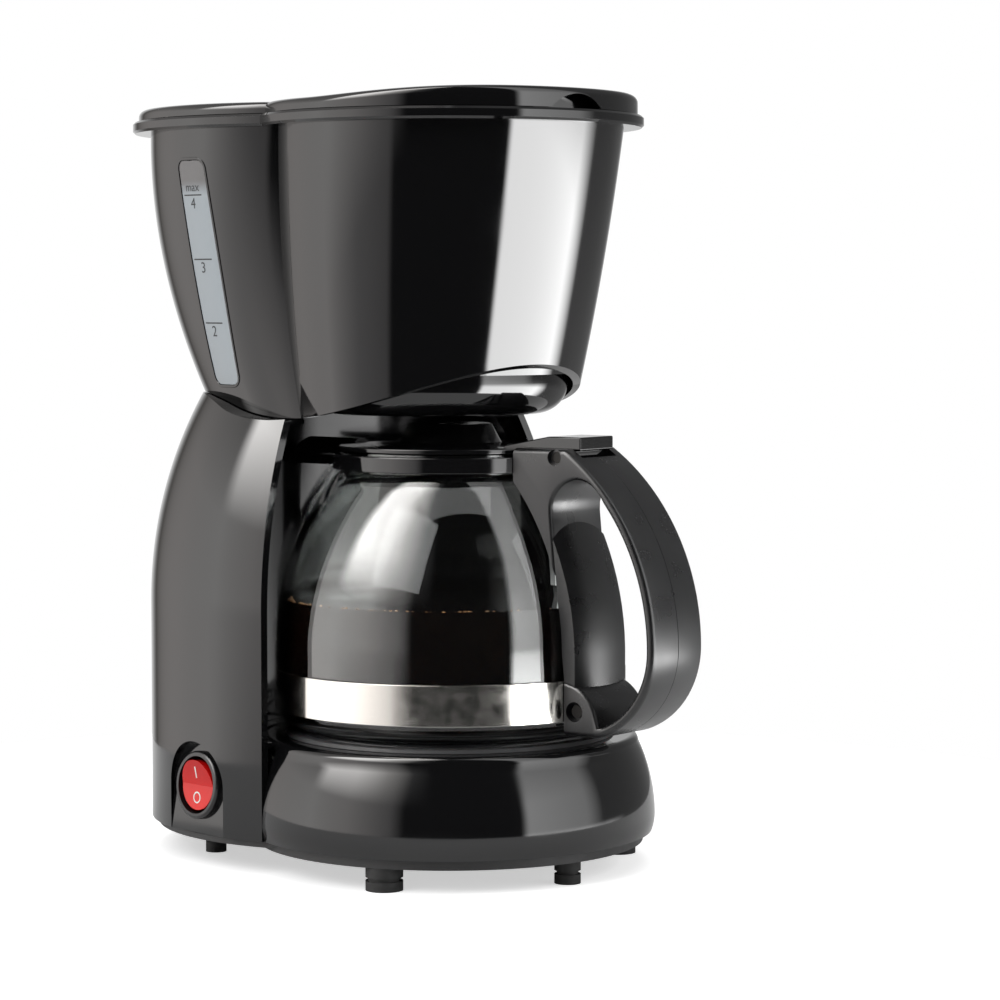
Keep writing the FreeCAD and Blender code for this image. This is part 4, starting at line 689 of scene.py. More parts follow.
def windowFrame(bm):
    wide, proud, sunk = window["lipWidth"], window["lipProud"], -window["lipSunk"]
    loops = []
    for grow, depth in ((0.0, sunk), (0.0, proud), (wide, proud), (wide, sunk)):
        rows = windowEdge(grow)
        points = [(y, z) for _, y, z in rows] + [(y, z) for y, _, z in reversed(rows)]
        loops.append([bm.verts.new(tankSpot(y, z, depth)) for y, z in points])
    joinRings(bm, loops + loops[:1], True)


piece = solid("tankHousing", housingBlank)
overRim = housing["rimTop"] + housing["over"]
tank = solid("tankHollow", lobe, "rear", wall, housing["tankFloor"], overRim)
combine(tank, solid("chamberOutside", lobe, "front", 0.0, housing["under"], housing["partition"]))
combine(piece, tank)
combine(piece, solid("tankUnder", lobe, "rear", wall, housing["under"], housing["tankFloor"] - wall))
combine(piece, solid("chamberHollow", lobe, "front", wall, housing["under"], overRim))
combine(piece, solid("windowSlot", windowPane, -window["cutOut"], wall + window["cutIn"], 0.0))
finishPiece(piece, "machine", glossAbs, ["tank_housing"], bevel=0.25)
finishPiece(solid("windowLip", windowFrame), "machine", glossAbs, ["tank_housing"], bevel=0.2)
finishPiece(solid("levelWindow", windowPane, 0.0, wall, -window["gap"]), "machine", windowPlastic,
            ["level_window"], bevel=0.2)

# Printed marks: flat lettering laid on a curved wall, or flat on the rocker
inkProud = 0.06


def lettering(text, size):
    curve = bpy.data.curves.new("letters", "FONT")
    curve.body = text
    curve.size = size
    curve.align_x = "CENTER"
    curve.align_y = "CENTER"
    holder = newObject("letters", curve)
    graph = bpy.context.evaluated_depsgraph_get()
    mesh = bpy.data.meshes.new_from_object(holder.evaluated_get(graph))
    bpy.data.objects.remove(holder)
    return mesh


def flatBar(width, height, count=8):
    bm = bmesh.new()
    bmesh.ops.create_grid(bm, x_segments=count, y_segments=1, size=0.5)
    bmesh.ops.scale(bm, vec=(width, height, 1), verts=bm.verts)
    return toMesh(bm, "bar")


def windowMark(name, mesh, middleY, middleZ):
    # lays a flat drawing on the window: its x runs to the front, its y up
    for vertex in mesh.vertices:
        vertex.co = tankSpot(middleY - vertex.co.x, middleZ + vertex.co.y, inkProud)
    finishPiece(newObject(name, mesh), "machine", darkPrint)


marks = {"heights": (228.1, 206.2, 184.4), "numbers": ("4", "3", "2"), "tick": (9.2, 0.45), "text": 5.2,
         "aside": 0.9, "drop": 3.0, "maxText": 4.2, "maxY": 63.6, "maxRise": 2.6}
for height, number in zip(marks["heights"], marks["numbers"]):
    y = windowMiddle(height) + marks["aside"]
    windowMark("windowTick" + number, flatBar(*marks["tick"]), y, height)
    windowMark("windowNumber" + number, lettering(number, marks["text"]), y, height - marks["drop"])
windowMark("windowMax", lettering("max", marks["maxText"]), marks["maxY"],
           marks["heights"][0] + marks["maxRise"])
print("housing and window made")

# Lid: one moulding, thin over the tank, sweeping up to the front, with a thumb scoop
lid = {"bottom": 254.71, "front": 63.8, "frontTop": 261.41, "rear": 67.7, "rearY": 64.0, "rearTop": 258.51,
       "edge": 2.4, "sheet": 2.2, "sweepStart": -58.0, "sweepEnd": 2.0, "scoopHalf": 11.0, "scoopHigh": 4.6,
       "scoopDeep": 7.0, "scoopCover": 1.5, "spreaderBite": 0.1, "count": 72, "edgeSteps": 6}


def lidTop(y):
    share = min(max((lid["sweepEnd"] - y) / (lid["sweepEnd"] - lid["sweepStart"]), 0.0), 1.0)
    return lid["rearTop"] + (lid["frontTop"] - lid["rearTop"]) * share * share * (3 - 2 * share)


def lidSpot(inset, share):
    return twoCircles(lid["front"] - inset, lid["rear"] - inset, lid["rearY"], share)


def lidBlank(bm, inset, low, drop, edge):
    # upright wall, rounded edge and the sweeping top
    around = [i / lid["count"] for i in range(2 * lid["count"] + 1)]
    bends = [math.pi / 2 * share for share in shares(lid["edgeSteps"])] if edge else [math.pi / 2]
    rows = [bothSides([lidSpot(inset, share) + (low,) for share in around])]
    for bend in bends:
        half = []
        for share in around:
            x, y = lidSpot(inset + edge * (1 - math.cos(bend)), share)
            half.append((x, y, lidTop(y) - drop - edge * (1 - math.sin(bend))))
        rows.append(bothSides(half))
    stack(bm, rows, strips=True)


scoop, scoopLow = lid["scoopHalf"], lid["bottom"]
scoopEnd = lid["scoopDeep"] - lid["front"]
scoopRound = (scoop ** 2 + lid["scoopHigh"] ** 2) / (2 * lid["scoopHigh"])
piece = solid("lidCap", lidBlank, 0.0, lid["bottom"], 0.0, lid["edge"])
combine(piece, solid("lidHollow", lidBlank, wall, lid["bottom"] - spare, lid["sheet"], 0.0))
combine(piece, block("scoopWall", (-scoop - wall, scoop + wall), (scoopEnd, scoopEnd + wall),
                     (scoopLow, lid["frontTop"] - lid["scoopCover"])), "UNION")
combine(piece, solid("scoopCut", extruded, outline([
    (-scoop, scoopLow), (-scoop, scoopLow - spare), (scoop, scoopLow - spare), (scoop, scoopLow),
    (0, scoopLow + lid["scoopHigh"], scoopRound), (-scoop, scoopLow, scoopRound)], step=3),
    "y", -far, scoopEnd))
finishPiece(piece, "lid", glossAbs, ["lid"], bevel=0.2)
spreader = smoothCopy("lid_spreader")
for vertex in spreader.data.vertices:
    # stays under the lid's sheet
    top = lidTop(vertex.co.y * 1000 - axisY) - lid["sheet"] + lid["spreaderBite"]
    vertex.co.z = min(vertex.co.z, (toFrame @ Vector((0, 0, top))).z)

# Hinge at the back: a lug with a knuckle on the lid, between two ears on the housing
hinge = {"y": 138.5, "z": 256.41, "lug": 13.0, "lugBite": 2.0, "knuckle": 3.8, "lugHole": 1.75, "earIn": 13.3,
         "earOut": 17.5, "earHole": 1.6, "earFoot": (128.5, 131.5), "earDrop": 1.0}
pin = (hinge["y"], hinge["z"])
knuckle = hinge["knuckle"]
piece = block("lidHingeLug", (-hinge["lug"], hinge["lug"]),
              (lid["rearY"] + lid["rear"] - hinge["lugBite"], hinge["y"]), (lid["bottom"], lid["rearTop"]))
combine(piece, cylinder("lidKnuckle", pin, knuckle, "x", -hinge["lug"], hinge["lug"]), "UNION")
combine(piece, cylinder("lidPinHole", pin, hinge["lugHole"], "x", -through, through))
finishPiece(piece, "lid", glossAbs, ["lid"], bevel=0.2)
earFront, earBack = hinge["earFoot"]
for name, sign in (("hingeEarRight", 1), ("hingeEarLeft", -1)):
    low, high = sorted((sign * hinge["earIn"], sign * hinge["earOut"]))
    piece = solid(name, extruded, outline([
        (earFront, housing["rimLow"]), (earBack, housing["rimLow"]),
        (pin[0] + knuckle, pin[1] - hinge["earDrop"]), (pin[0] + knuckle, pin[1]),
        (pin[0], pin[1] + knuckle, knuckle), (pin[0] - knuckle, pin[1], knuckle),
        (pin[0] - knuckle, housing["rimTop"]), (earFront, housing["rimTop"])]), "x", low, high)
    combine(piece, cylinder("earHole", pin, hinge["earHole"], "x", -through, through))
    finishPiece(piece, "machine", glossAbs, ["tank_housing"], bevel=0.2)

# Rounded dish that closes the brew chamber from below
dish = {"radius": 46.2, "y": 8.5, "bottom": 153.71, "top": 167.51, "edge": 11.0, "hole": 9.0,
        "cut": (140, 180)}
dishFlat, dishIn = dish["radius"] - dish["edge"], dish["radius"] - wall
dishTurn = dish["bottom"] + dish["edge"]
piece = solid("chamberDish", turned, [
    (0, dish["bottom"]), (dishFlat, dish["bottom"]), (dish["radius"], dishTurn, dish["edge"]),
    (dish["radius"], dish["top"]), (dishIn, dish["top"]), (dishIn, dishTurn),
    (dishFlat, dish["bottom"] + wall, wall - dish["edge"]), (0, dish["bottom"] + wall),
], about=dish["y"], closed=False)
combine(piece, cylinder("dishHole", (0, 0), dish["hole"], "z", *dish["cut"]))
finishPiece(piece, "machine", glossAbs, ["brew_chamber_floor"])
print("lid and dish made")

# Switch: bezel and marks; the rocker keeps its own shape
bezel = {"barrel": 10.6, "back": -15.0, "rim": 11.6, "high": 2.2, "edge": 1.1, "open": 9.8, "floor": -8.0}
piece = solid("switchBezel", turned, [
    (0, bezel["back"]), (bezel["barrel"], bezel["back"]), (bezel["barrel"], 0), (bezel["rim"], 0),
    (bezel["rim"], bezel["high"] - bezel["edge"]),
    (bezel["rim"] - bezel["edge"], bezel["high"], bezel["edge"]),
    (bezel["open"], bezel["high"]), (bezel["open"], bezel["floor"]), (0, bezel["floor"])], closed=False)
piece.data.transform(switchPlace)
finishPiece(piece, "machine", satinAbs, ["switch_housing"])
rockerFace = {"middle": 1.2, "rise": 2.5, "radius": 8.5, "spot": 4.3, "bar": (4.0, 0.6), "ring": (1.5, 2.0),
              "ringSteps": 40}
faceZ = rockerFace["middle"] + inkProud
raised = rockerFace["rise"] * rockerFace["spot"] / rockerFace["radius"]
tilt = math.atan2(rockerFace["rise"], rockerFace["radius"])
onMark = flatBar(*rockerFace["bar"], 1)
onMark.transform(Matrix.Translation((rockerFace["spot"], 0, faceZ + raised)) @ Matrix.Rotation(-tilt, 4, "Y"))
bm = bmesh.new()
joinRings(bm, [[bm.verts.new((radius * math.cos(turn), radius * math.sin(turn), 0))
                for turn in turnsRound(rockerFace["ringSteps"])] for radius in rockerFace["ring"]], True)
offMark = toMesh(bm, "offMark")
offMark.transform(Matrix.Translation((-rockerFace["spot"], 0, faceZ)))
for name, mesh in (("rockerOn", onMark), ("rockerOff", offMark)):
    mesh.transform(switchPlace)
    finishPiece(newObject(name, mesh), "rocker", whitePrint)

# Carafe, made straight and turned a little as it stands in the photograph
jug = {"bottom": 47.3, "radius": 59.5, "rise": 9.0, "shoulder": 76.3, "curve": 89.0, "neck": 39.5,
       "neckZ": 132.51, "top": 141.01, "glass": 2.2, "push": 42.0, "dent": 1.2, "dentRun": 2.4, "lipIn": 2.0,
       "lipRise": 1.7}
jugIn, jugFlat = jug["radius"] - jug["glass"], jug["radius"] - jug["rise"]
jugTurn = jug["bottom"] + jug["rise"]
inCurve = jug["curve"] - jug["glass"]
inDrop = inCurve - (jug["radius"] - jug["neck"])
inNeckZ = jug["shoulder"] + math.sqrt(inCurve ** 2 - inDrop ** 2)
lipOut, floorTop = jug["neck"] - jug["lipIn"], jug["bottom"] + jug["glass"]
piece = solid("glassJug", turned, [
    (0, jug["bottom"] + jug["dent"]), (jug["push"], jug["bottom"] + jug["dent"]),
    (jug["push"] + jug["dentRun"], jug["bottom"]), (jugFlat, jug["bottom"]),
    (jug["radius"], jugTurn, jug["rise"]), (jug["radius"], jug["shoulder"]),
    (jug["neck"], jug["neckZ"], jug["curve"]), (lipOut, jug["neckZ"] + jug["lipIn"]), (lipOut, jug["top"]),
    (lipOut - jug["glass"], jug["top"]), (lipOut - jug["glass"], inNeckZ + jug["lipRise"]),
    (jug["neck"] - jug["glass"], inNeckZ), (jugIn, jug["shoulder"], -inCurve), (jugIn, jugTurn),
    (jugFlat, floorTop, -(jug["rise"] - jug["glass"])),
    (jug["push"], floorTop + jug["dent"]), (0, floorTop + jug["dent"]),
], steps=180, step=3, closed=False)
finishPiece(piece, "carafe", jugGlass, ["glass_jug"])


def ringProfile(sizes):
    low, high = sizes["low"], sizes["high"]
    return [(sizes["in"], low), (sizes["out"], low), (sizes["out"], high), (sizes["in"], high)]


band = {"low": 53.9, "high": 67.4, "in": 59.55, "out": 60.15}
finishPiece(solid("carafeBand", turned, ringProfile(band), steps=180), "carafe", steel, ["carafe_band"],
            bevel=0.12)
collar = {"in": 37.8, "out": 40.2, "low": 135.01, "high": 140.31}
finishPiece(solid("carafeCollar", turned, ringProfile(collar)), "carafe", glossAbs, ["carafe_collar"],
            bevel=0.4)

# Pouring hood: an arched tunnel out from the collar, opposite the handle, cut off aslant at its mouth
hood = {"half": 6.5, "wall": 1.8, "low": collar["low"], "spring": 137.81, "start": 39.0, "end": 66.0,
        "mouth": 61.5}


def hoodOutline(inset):
    half = hood["half"] - inset
    return outline([(-half, hood["low"] + inset), (half, hood["low"] + inset), (half, hood["spring"]),
                    (0, hood["spring"] + half, half), (-half, hood["spring"], half)])


piece = solid("pouringHood", extruded, hoodOutline(0.0), "y", hood["start"], hood["end"])
combine(piece, solid("hoodHollow", extruded, hoodOutline(hood["wall"]), "y", hood["start"] - spare,
                     hood["end"] + spare))
crown, hoodEnd = hood["spring"] + hood["half"] + spare, hood["end"] + spare
combine(piece, solid("hoodMouth", extruded, outline([
    (hoodEnd, hood["low"] + hood["wall"]), (hoodEnd, crown), (hood["mouth"], crown)]),
    "x", -through, through))
finishPiece(piece, "carafe", glossAbs, ["pouring_hood"], bevel=0.6)

# Carafe lid: a disc with a dome and a plug, and the lever that the thumb presses
jugLid = {"disc": 37.8, "low": 141.31, "high": 143.91, "edge": 0.9, "seat": 19.5, "plug": 35.0,
          "plugLow": 138.31, "sheet": 1.8, "domeIn": 17.7, "domeOut": 14.2, "domeTop": 150.41,
          "underTop": 12.4, "underLow": 15.9, "hole": 5.0, "start": 29.8, "bite": 0.4, "leverHalf": 9.4,
          "leverLow": 143.01, "leverTop": 147.41, "leverRun": 6.0, "reach": 61.5, "pinReach": 54.6,
          "pinZ": 140.81, "pinHole": 2.0, "lug": 3.99}
lidLow, lidHigh, domeTop = jugLid["low"], jugLid["high"], jugLid["domeTop"]
plugIn = jugLid["plug"] - jugLid["sheet"]
finishPiece(solid("carafeLidDisc", turned, [
    (jugLid["hole"], domeTop), (jugLid["hole"], domeTop - jugLid["sheet"]),
    (jugLid["underTop"], domeTop - jugLid["sheet"]), (jugLid["underLow"], lidLow), (plugIn, lidLow),
    (plugIn, jugLid["plugLow"]), (jugLid["plug"], jugLid["plugLow"]), (jugLid["plug"], lidLow),
    (jugLid["disc"], lidLow), (jugLid["disc"], lidHigh - jugLid["edge"]), (jugLid["seat"], lidHigh),
    (jugLid["domeIn"], lidHigh), (jugLid["domeOut"], domeTop)]),
    "carafe_lid", glossAbs, ["carafe_lid"], bevel=0.4)
pinReach, pinZ, lug = jugLid["pinReach"], jugLid["pinZ"], jugLid["lug"]
pinSpot = (-pinReach, pinZ)
piece = solid("carafeLidLever", extruded, outline([
    (-jugLid["start"], lidLow + jugLid["bite"]), (-jugLid["start"], lidHigh),
    (-(pinReach - jugLid["leverRun"]), jugLid["leverTop"]), (-jugLid["reach"], jugLid["leverTop"]),
    (-jugLid["reach"], jugLid["leverLow"]), (-(pinReach + lug), jugLid["leverLow"]),
    (-(pinReach + lug), pinZ), (-pinReach, pinZ - lug, lug), (-(pinReach - lug), pinZ, lug),
    (-(pinReach - lug), lidLow + jugLid["bite"])]), "x", -jugLid["leverHalf"], jugLid["leverHalf"])
combine(piece, cylinder("leverPinHole", pinSpot, jugLid["pinHole"], "x", -through, through))
finishPiece(piece, "carafe_lid", glossAbs, ["carafe_lid"], bevel=0.5)

# Handle: a broad bow round an opening, made as a ring, then fitted to the jug
handle = {"half": 14.5, "top": 143.51, "bottom": 49.5, "topReach": 58.6, "outReach": 94.2, "outZ": 79.0,
          "lowReach": 72.1, "rootReach": 30.0, "strap": 3.2, "middle": (-74.0, 95.0), "count": 144,
          "outEdge": 1.7, "inEdge": 1.3, "seam": 0.16, "edgeSteps": 4, "brow": (-64.0, 133.71), "browArc": 11,
          "turnZ": 126.81, "turnArc": 12, "heel": (-58.5, 67.0), "heelArc": -15, "throat": (-53.0, 123.51),
          "clear": 60.45,
          "collarGap": 0.3, "space": (30, 170), "slotHalf": 9.7, "slotReach": 62.6, "slotLow": 136.33,
          "screw": (-62.8, 57.5), "screwBore": 2.2, "screwSink": 3.3, "screwDeep": 4.0, "pinBore": 1.95,
          "pinSink": 2.7, "pinDeep": 1.5, "web": 4.2, "webGap": 0.12, "bandGap": 0.6}


def bow(inset):
    # the outer sweep as (corner, corner, corner) with the radii of its two arcs
    out, topZ, lowZ = handle["outReach"] - inset, handle["top"] - inset, handle["bottom"] + inset
    rise, run = topZ - handle["outZ"], out - handle["topReach"]
    fall, step = handle["outZ"] - lowZ, out - handle["lowReach"]
    upper, lower = (rise ** 2 + run ** 2) / (2 * run), (fall ** 2 + step ** 2) / (2 * step)
    return [(-handle["topReach"], topZ), (-out, handle["outZ"], upper), (-handle["lowReach"], lowZ, lower)]


def openingLoop():
    _, side, foot = bow(handle["strap"])
    out, upper = -side[0], side[2]
    reach = out - upper + math.sqrt(upper ** 2 - (handle["turnZ"] - handle["outZ"]) ** 2)
    return outline([handle["brow"], (-reach, handle["turnZ"], handle["turnArc"]), side, foot,
                    handle["heel"] + (handle["heelArc"],), handle["throat"],
                    handle["brow"] + (handle["browArc"],)], step=0.4)


def meetRay(points, turn):
    # where a ray from the middle of the opening crosses a closed line
    middle = Vector(handle["middle"])
    ray = Vector((math.cos(turn), math.sin(turn)))
    for first, last in zip(points, points[1:] + points[:1]):
        edge = last - first
        cross = ray.x * edge.y - ray.y * edge.x
        if abs(cross) < 1e-9:
            continue
        gap = first - middle
        along = (gap.x * edge.y - gap.y * edge.x) / cross
        share = (gap.x * ray.y - gap.y * ray.x) / cross
        if along > 0 and -1e-6 <= share <= 1 + 1e-6:
            return middle + ray * along
    return None


def handleRing(bm):
    # rows of points round the bow, one for each corner of the strap's section
    turns = turnsRound(handle["count"])
    root = [(-handle["rootReach"], handle["bottom"]), (-handle["rootReach"], handle["top"])]
    lines = {"out": outline(bow(0.0) + root, step=0.4), "in": openingLoop()}
    hits = {side: [meetRay(points, turn) for turn in turns] for side, points in lines.items()}

    def row(side, x, depth):
        # the line at this distance inside the strap's surface
        spots = []
        line = hits[side]
        for i, spot in enumerate(line):
            along = line[(i + 1) % len(line)] - line[i - 1]
            away = Vector((along.y, -along.x)).normalized()
            spots.append(bm.verts.new((x, *(spot + away * (depth if side == "in" else -depth)))))
        return spots

    corner = [math.pi / 2 * share for share in shares(handle["edgeSteps"])]
    half, inEdge, outEdge, seam = (handle[key] for key in ("half", "inEdge", "outEdge", "seam"))
    right = [("in", half - inEdge * (1 - math.sin(a)), inEdge * (1 - math.cos(a))) for a in corner]
    right += [("out", half - outEdge * (1 - math.cos(a)), outEdge * (1 - math.sin(a))) for a in corner]
    left = [(side, -x, depth) for side, x, depth in right]
    groove = [("out", -seam, 0.0), ("out", 0.0, seam), ("out", seam, 0.0)]
    rows = [row(*spot) for spot in left + groove + right[::-1]]
    joinRings(bm, rows + rows[:1], True)


clear = handle["clear"]
spaceLow, spaceHigh = handle["space"]
clearArc = jug["curve"] + clear - jug["radius"]
collarClear = collar["out"] + handle["collarGap"]
piece = solid("carafeHandle", handleRing)
combine(piece, solid("jugSpace", turned, [
    (0, spaceLow), (clear, spaceLow), (clear, jug["shoulder"]),
    (jug["neck"] + clear - jug["radius"], jug["neckZ"], clearArc), (collarClear, jug["neckZ"]),
    (collarClear, spaceHigh), (0, spaceHigh)], closed=False, step=3))
combine(piece, block("leverSpace", (-handle["slotHalf"], handle["slotHalf"]),
                     (-handle["slotReach"], -handle["rootReach"]), (handle["slotLow"], spaceHigh)))
for name, spot, radius, end in (
        ("pinBore", pinSpot, handle["pinBore"], through),
        ("screwBore", handle["screw"], handle["screwBore"], through),
        ("screwSink", handle["screw"], handle["screwSink"], handle["screwDeep"] - handle["half"]),
        ("pinSink", pinSpot, handle["pinSink"], handle["pinDeep"] - handle["half"])):
    combine(piece, cylinder(name, spot, radius, "x", -through, end))
finishPiece(piece, "carafe", satinAbs, ["carafe_handle"], sharp=30)

# Web between the handle's bow and the glass
piece = solid("handleWeb", extruded, openingLoop()[::6], "x", -handle["half"], handle["half"])
webOut = clear + handle["web"]
webIn = jug["radius"] + handle["webGap"]
bandTop = band["high"] + handle["bandGap"]
combine(piece, solid("webRing", turned, [
    (clear, handle["bottom"]), (webOut, handle["bottom"]), (webOut, jug["shoulder"]),
    (jug["neck"] + webOut - jug["radius"], jug["neckZ"], clearArc + handle["web"]),
    (jug["neck"] + handle["webGap"], jug["neckZ"]),
    (webIn, jug["shoulder"], -jug["curve"] - handle["webGap"]), (webIn, bandTop), (clear, bandTop)], step=3),
    "INTERSECT")
finishPiece(piece, "carafe", satinAbs, ["carafe_handle"], bevel=0.5)
print("carafe made")

# Coffee in the jug, with small bubbles round its edge, and drops of condensation on the glass above
coffee = {"level": 91.0, "gap": 0.06, "edgeRun": 1.2, "edgeDrop": 0.5, "bubbles": 60, "bubbleIn": (0.9, 2.0),
          "bubbleTurn": (-2.5, 0.7), "bubbleSunk": 0.35, "bubbleSize": (0.35, 0.8), "drops": 46,
          "dropZ": (96, 126), "dropTurn": (0.1, 1.0), "dropIn": 0.12, "dropSize": (0.3, 0.8),
          "dropFlat": 0.45}
wet = jugIn - coffee["gap"]
floorZ = floorTop + coffee["gap"]
edgeReach = wet - sag(inCurve, coffee["level"] - jug["shoulder"])
flatZ = coffee["level"] - coffee["edgeDrop"]
piece = solid("coffee", turned, [
    (0, floorZ + jug["dent"]), (jug["push"], floorZ + jug["dent"]), (jugFlat, floorZ),
    (wet, jugTurn, jug["rise"] - jug["glass"]), (wet, jug["shoulder"]), (edgeReach, coffee["level"], inCurve),
    (edgeReach - coffee["edgeRun"], flatZ), (0, flatZ)], closed=False, step=4)
finishPiece(piece, "carafe", coffeeBrew, sharp=50)
chance = random.Random(7)


def bubbleSpot():
    reach = edgeReach - chance.uniform(*coffee["bubbleIn"])
    return reach, chance.uniform(*coffee["bubbleTurn"]), coffee["level"] - coffee["bubbleSunk"]


def dropSpot():
    z = chance.uniform(*coffee["dropZ"])
    reach = jugIn - sag(inCurve, z - jug["shoulder"]) - coffee["dropIn"]
    return reach, chance.uniform(*coffee["dropTurn"]), z


def scatter(name, count, spotOf, sizes, material, flat=1.0):
    # many small beads in one mesh
    bm = bmesh.new()
    for _ in range(count):
        reach, turn, z = spotOf()
        size = chance.uniform(*sizes)
        spot = Matrix.Translation((reach * math.sin(turn), -reach * math.cos(turn), z))
        bead = spot @ Matrix.Rotation(turn, 4, "Z") @ Matrix.Diagonal((1, flat, 1, 1))
        bmesh.ops.create_icosphere(bm, subdivisions=2, radius=size, matrix=bead)
    finishPiece(toObject(bm, name), "carafe", material, sharp=180)


scatter("coffeeBubbles", coffee["bubbles"], bubbleSpot, coffee["bubbleSize"], foam)
scatter("condensation", coffee["drops"], dropSpot, coffee["dropSize"], jugGlass, coffee["dropFlat"])
print("coffee made")

# Camera at the photograph's angle: long lens, a little above the middle of the machine
view = {"lens": 115.06, "away": 1.091, "height": 0.1947, "heading": 41.896, "tilt": 3.706, "side": 41.0}
cameraData = bpy.data.cameras.new("camera")
cameraData.sensor_width = 36.0
cameraData.sensor_fit = "HORIZONTAL"
cameraData.lens = view["lens"]
cameraData.clip_start = 0.05
camera = newObject("camera", cameraData)
side = math.radians(view["side"])
camera.location = (-view["away"] * math.sin(side), axisY / 1000 - view["away"] * math.cos(side),
                   view["height"])
camera.rotation_euler = (math.radians(90 - view["tilt"]), 0, -math.radians(view["heading"]))
scene.camera = camera

# Floor: a round white sheet that keeps the shadow and meets the white backdrop
sheet = {"radius": 0.32, "tint": "#f4f4f4", "lift": 0.55}
bm = bmesh.new()
bmesh.ops.create_circle(bm, cap_ends=True, segments=96, radius=sheet["radius"])
floor = newObject("floor", toMesh(bm, "floor"))
floorPaper = bpy.data.materials.new("white_paper_sheet")  # plain matte paper, lifted to white for the camera
floorPaper.use_nodes = True
tree = floorPaper.node_tree
tree.nodes.clear()
path = addNode(tree, "ShaderNodeLightPath")
lift = addNode(tree, "ShaderNodeMath", {"operation": "MULTIPLY", 1: sheet["lift"]},
               {0: (path, "Is Camera Ray")})
paper = addNode(tree, "ShaderNodeBsdfDiffuse", {"Color": hexColor(sheet["tint"])})
glow = addNode(tree, "ShaderNodeEmission", {"Color": (1, 1, 1, 1)}, {"Strength": (lift, "Value")})
both = addNode(tree, "ShaderNodeAddShader", {}, {0: (paper, "BSDF"), 1: (glow, "Emission")})
addNode(tree, "ShaderNodeOutputMaterial", {}, {"Surface": (both, "Shader")})
floor.data.materials.append(floorPaper)

# World: white to the camera; reflections see a studio with a large white panel on the right, a dim one on the
# left that is brighter overhead, a pale backdrop behind the machine and a dark room in front of it
studio = {"fill": 0.4, "panels": 16.0, "front": (-math.sin(side), -math.cos(side), 0),
          "right": (math.cos(side), -math.sin(side), 0), "level": (-0.2, -0.05), "overhead": (0.25, 0.6)}
lowPanels = (
    (-180, "#404040"), (-162, "#404040"), (-150, "#1c1b1a"), (-118, "#555352"), (-90, "#6a6867"),
    (-62, "#4a4949"), (-39, "#3d3c3c"), (-35, "#060606"), (40, "#060606"), (43, "#ffffff"), (100, "#ffffff"),
    (114, "#303030"), (160, "#202020"), (180, "#404040"))
midPanels = (
    (-180, "#404040"), (-162, "#404040"), (-150, "#1c1b1a"), (-118, "#555352"), (-84, "#71706f"),
    (-60, "#6a6867"), (-34, "#474646"), (-26, "#060606"), (40, "#060606"), (44, "#8a8a8a"), (82, "#6e6e6e"),
    (94, "#262626"), (134, "#202020"), (160, "#202020"), (180, "#404040"))
highPanels = (
    (-180, "#404040"), (-162, "#404040"), (-150, "#2b2a2a"), (-100, "#494847"), (-88, "#494847"),
    (-80, "#f6f4f2"), (-60, "#e4e2e0"), (-40, "#8f8d8b"), (-24, "#303030"), (-12, "#060606"), (42, "#060606"),
    (46, "#707070"), (84, "#5c5c5c"), (92, "#303030"), (134, "#202020"), (160, "#202020"), (180, "#404040"))
world = bpy.data.worlds.new("studio")
scene.world = world
world.use_nodes = True
tree = world.node_tree
tree.nodes.clear()
path = addNode(tree, "ShaderNodeLightPath")
place = addNode(tree, "ShaderNodeTexCoord")
ahead, across = [addNode(tree, "ShaderNodeVectorMath", {"operation": "DOT_PRODUCT", 1: studio[way]},
                         {0: (place, "Generated")}) for way in ("front", "right")]
turn = addNode(tree, "ShaderNodeMath", {"operation": "ARCTAN2"}, {0: (across, "Value"), 1: (ahead, "Value")})
around = addNode(tree, "ShaderNodeMapRange", {"From Min": -math.pi, "From Max": math.pi},
                 {"Value": (turn, "Value")})
spot = addNode(tree, "ShaderNodeSeparateXYZ", {}, {"Vector": (place, "Generated")})


def panelRamp(stops):
    # the panels all round at one height, by degrees from the camera
    ramp = addNode(tree, "ShaderNodeValToRGB", {}, {"Fac": (around, "Result")})
    marks = ramp.color_ramp.elements
    marks[0].color, marks[1].color = hexColor(stops[0][1]), hexColor(stops[-1][1])
    for degrees, tint in stops[1:-1]:
        marks.new(degrees / 360 + 0.5).color = hexColor(tint)
    return ramp, "Color"


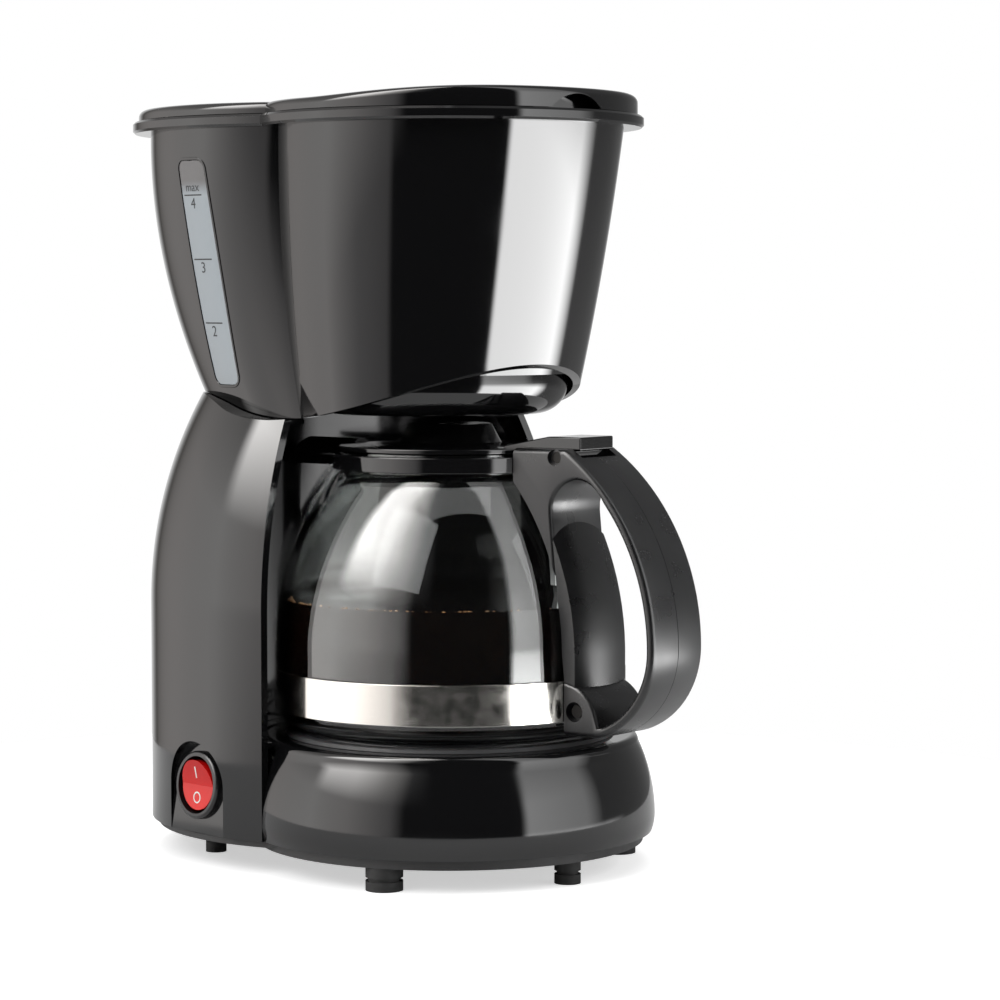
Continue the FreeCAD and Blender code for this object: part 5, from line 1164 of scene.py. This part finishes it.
def blendUp(ends, lower, upper):
    # one row of panels passing into the next between two heights
    share = addNode(tree, "ShaderNodeMapRange", {"From Min": ends[0], "From Max": ends[1]},
                    {"Value": (spot, "Z")})
    blend = addNode(tree, "ShaderNodeMix", {"data_type": "RGBA"},
                    {0: (share, "Result"), 6: lower, 7: upper})
    return blend, 2


lower = blendUp(studio["level"], panelRamp(lowPanels), panelRamp(midPanels))
panels = blendUp(studio["overhead"], lower, panelRamp(highPanels))
mirrored = addNode(tree, "ShaderNodeMath", {"operation": "MAXIMUM"},
                   {0: (path, "Is Glossy Ray"), 1: (path, "Is Transmission Ray")})
fill = addNode(tree, "ShaderNodeMath", {"operation": "MULTIPLY", 1: studio["fill"]},
               {0: (path, "Is Diffuse Ray")})
plain = addNode(tree, "ShaderNodeMath", {"operation": "MAXIMUM"},
                {0: (path, "Is Camera Ray"), 1: (fill, "Value")})
white = addNode(tree, "ShaderNodeBackground", {"Color": (1, 1, 1, 1)}, {"Strength": (plain, "Value")})
cards = addNode(tree, "ShaderNodeBackground", {"Strength": studio["panels"]}, {"Color": panels})
both = addNode(tree, "ShaderNodeMixShader", {},
               {0: (mirrored, "Value"), 1: (white, "Background"), 2: (cards, "Background")})
addNode(tree, "ShaderNodeOutputWorld", {}, {"Surface": (both, "Shader")})


def softbox(name, direction, distance, size, watts, level):
    # direction in degrees round the machine, counted from the camera to its right
    lamp = bpy.data.lights.new(name, "AREA")
    lamp.shape = "RECTANGLE"
    lamp.size = size
    lamp.size_y = size
    lamp.energy = watts
    box = newObject(name, lamp)
    turn = -side + math.radians(direction)
    spot = Vector((math.sin(turn) * distance, -math.cos(turn) * distance + axisY / 1000, level))
    box.location = spot
    aim = Vector((0, axisY / 1000, 0.14)) - spot
    box.rotation_euler = aim.to_track_quat("-Z", "Y").to_euler()
    box.visible_camera = False
    box.visible_glossy = False  # the world's panels are what shines


softbox("keyLamp", -40, 1.0, 0.8, 8, 0.9)
softbox("rightLamp", 80, 1.0, 0.8, 5, 0.5)
softbox("topLamp", 10, 0.2, 1.0, 7, 1.3)
print("camera, floor and lights made")

scene.view_settings.view_transform = "Standard"
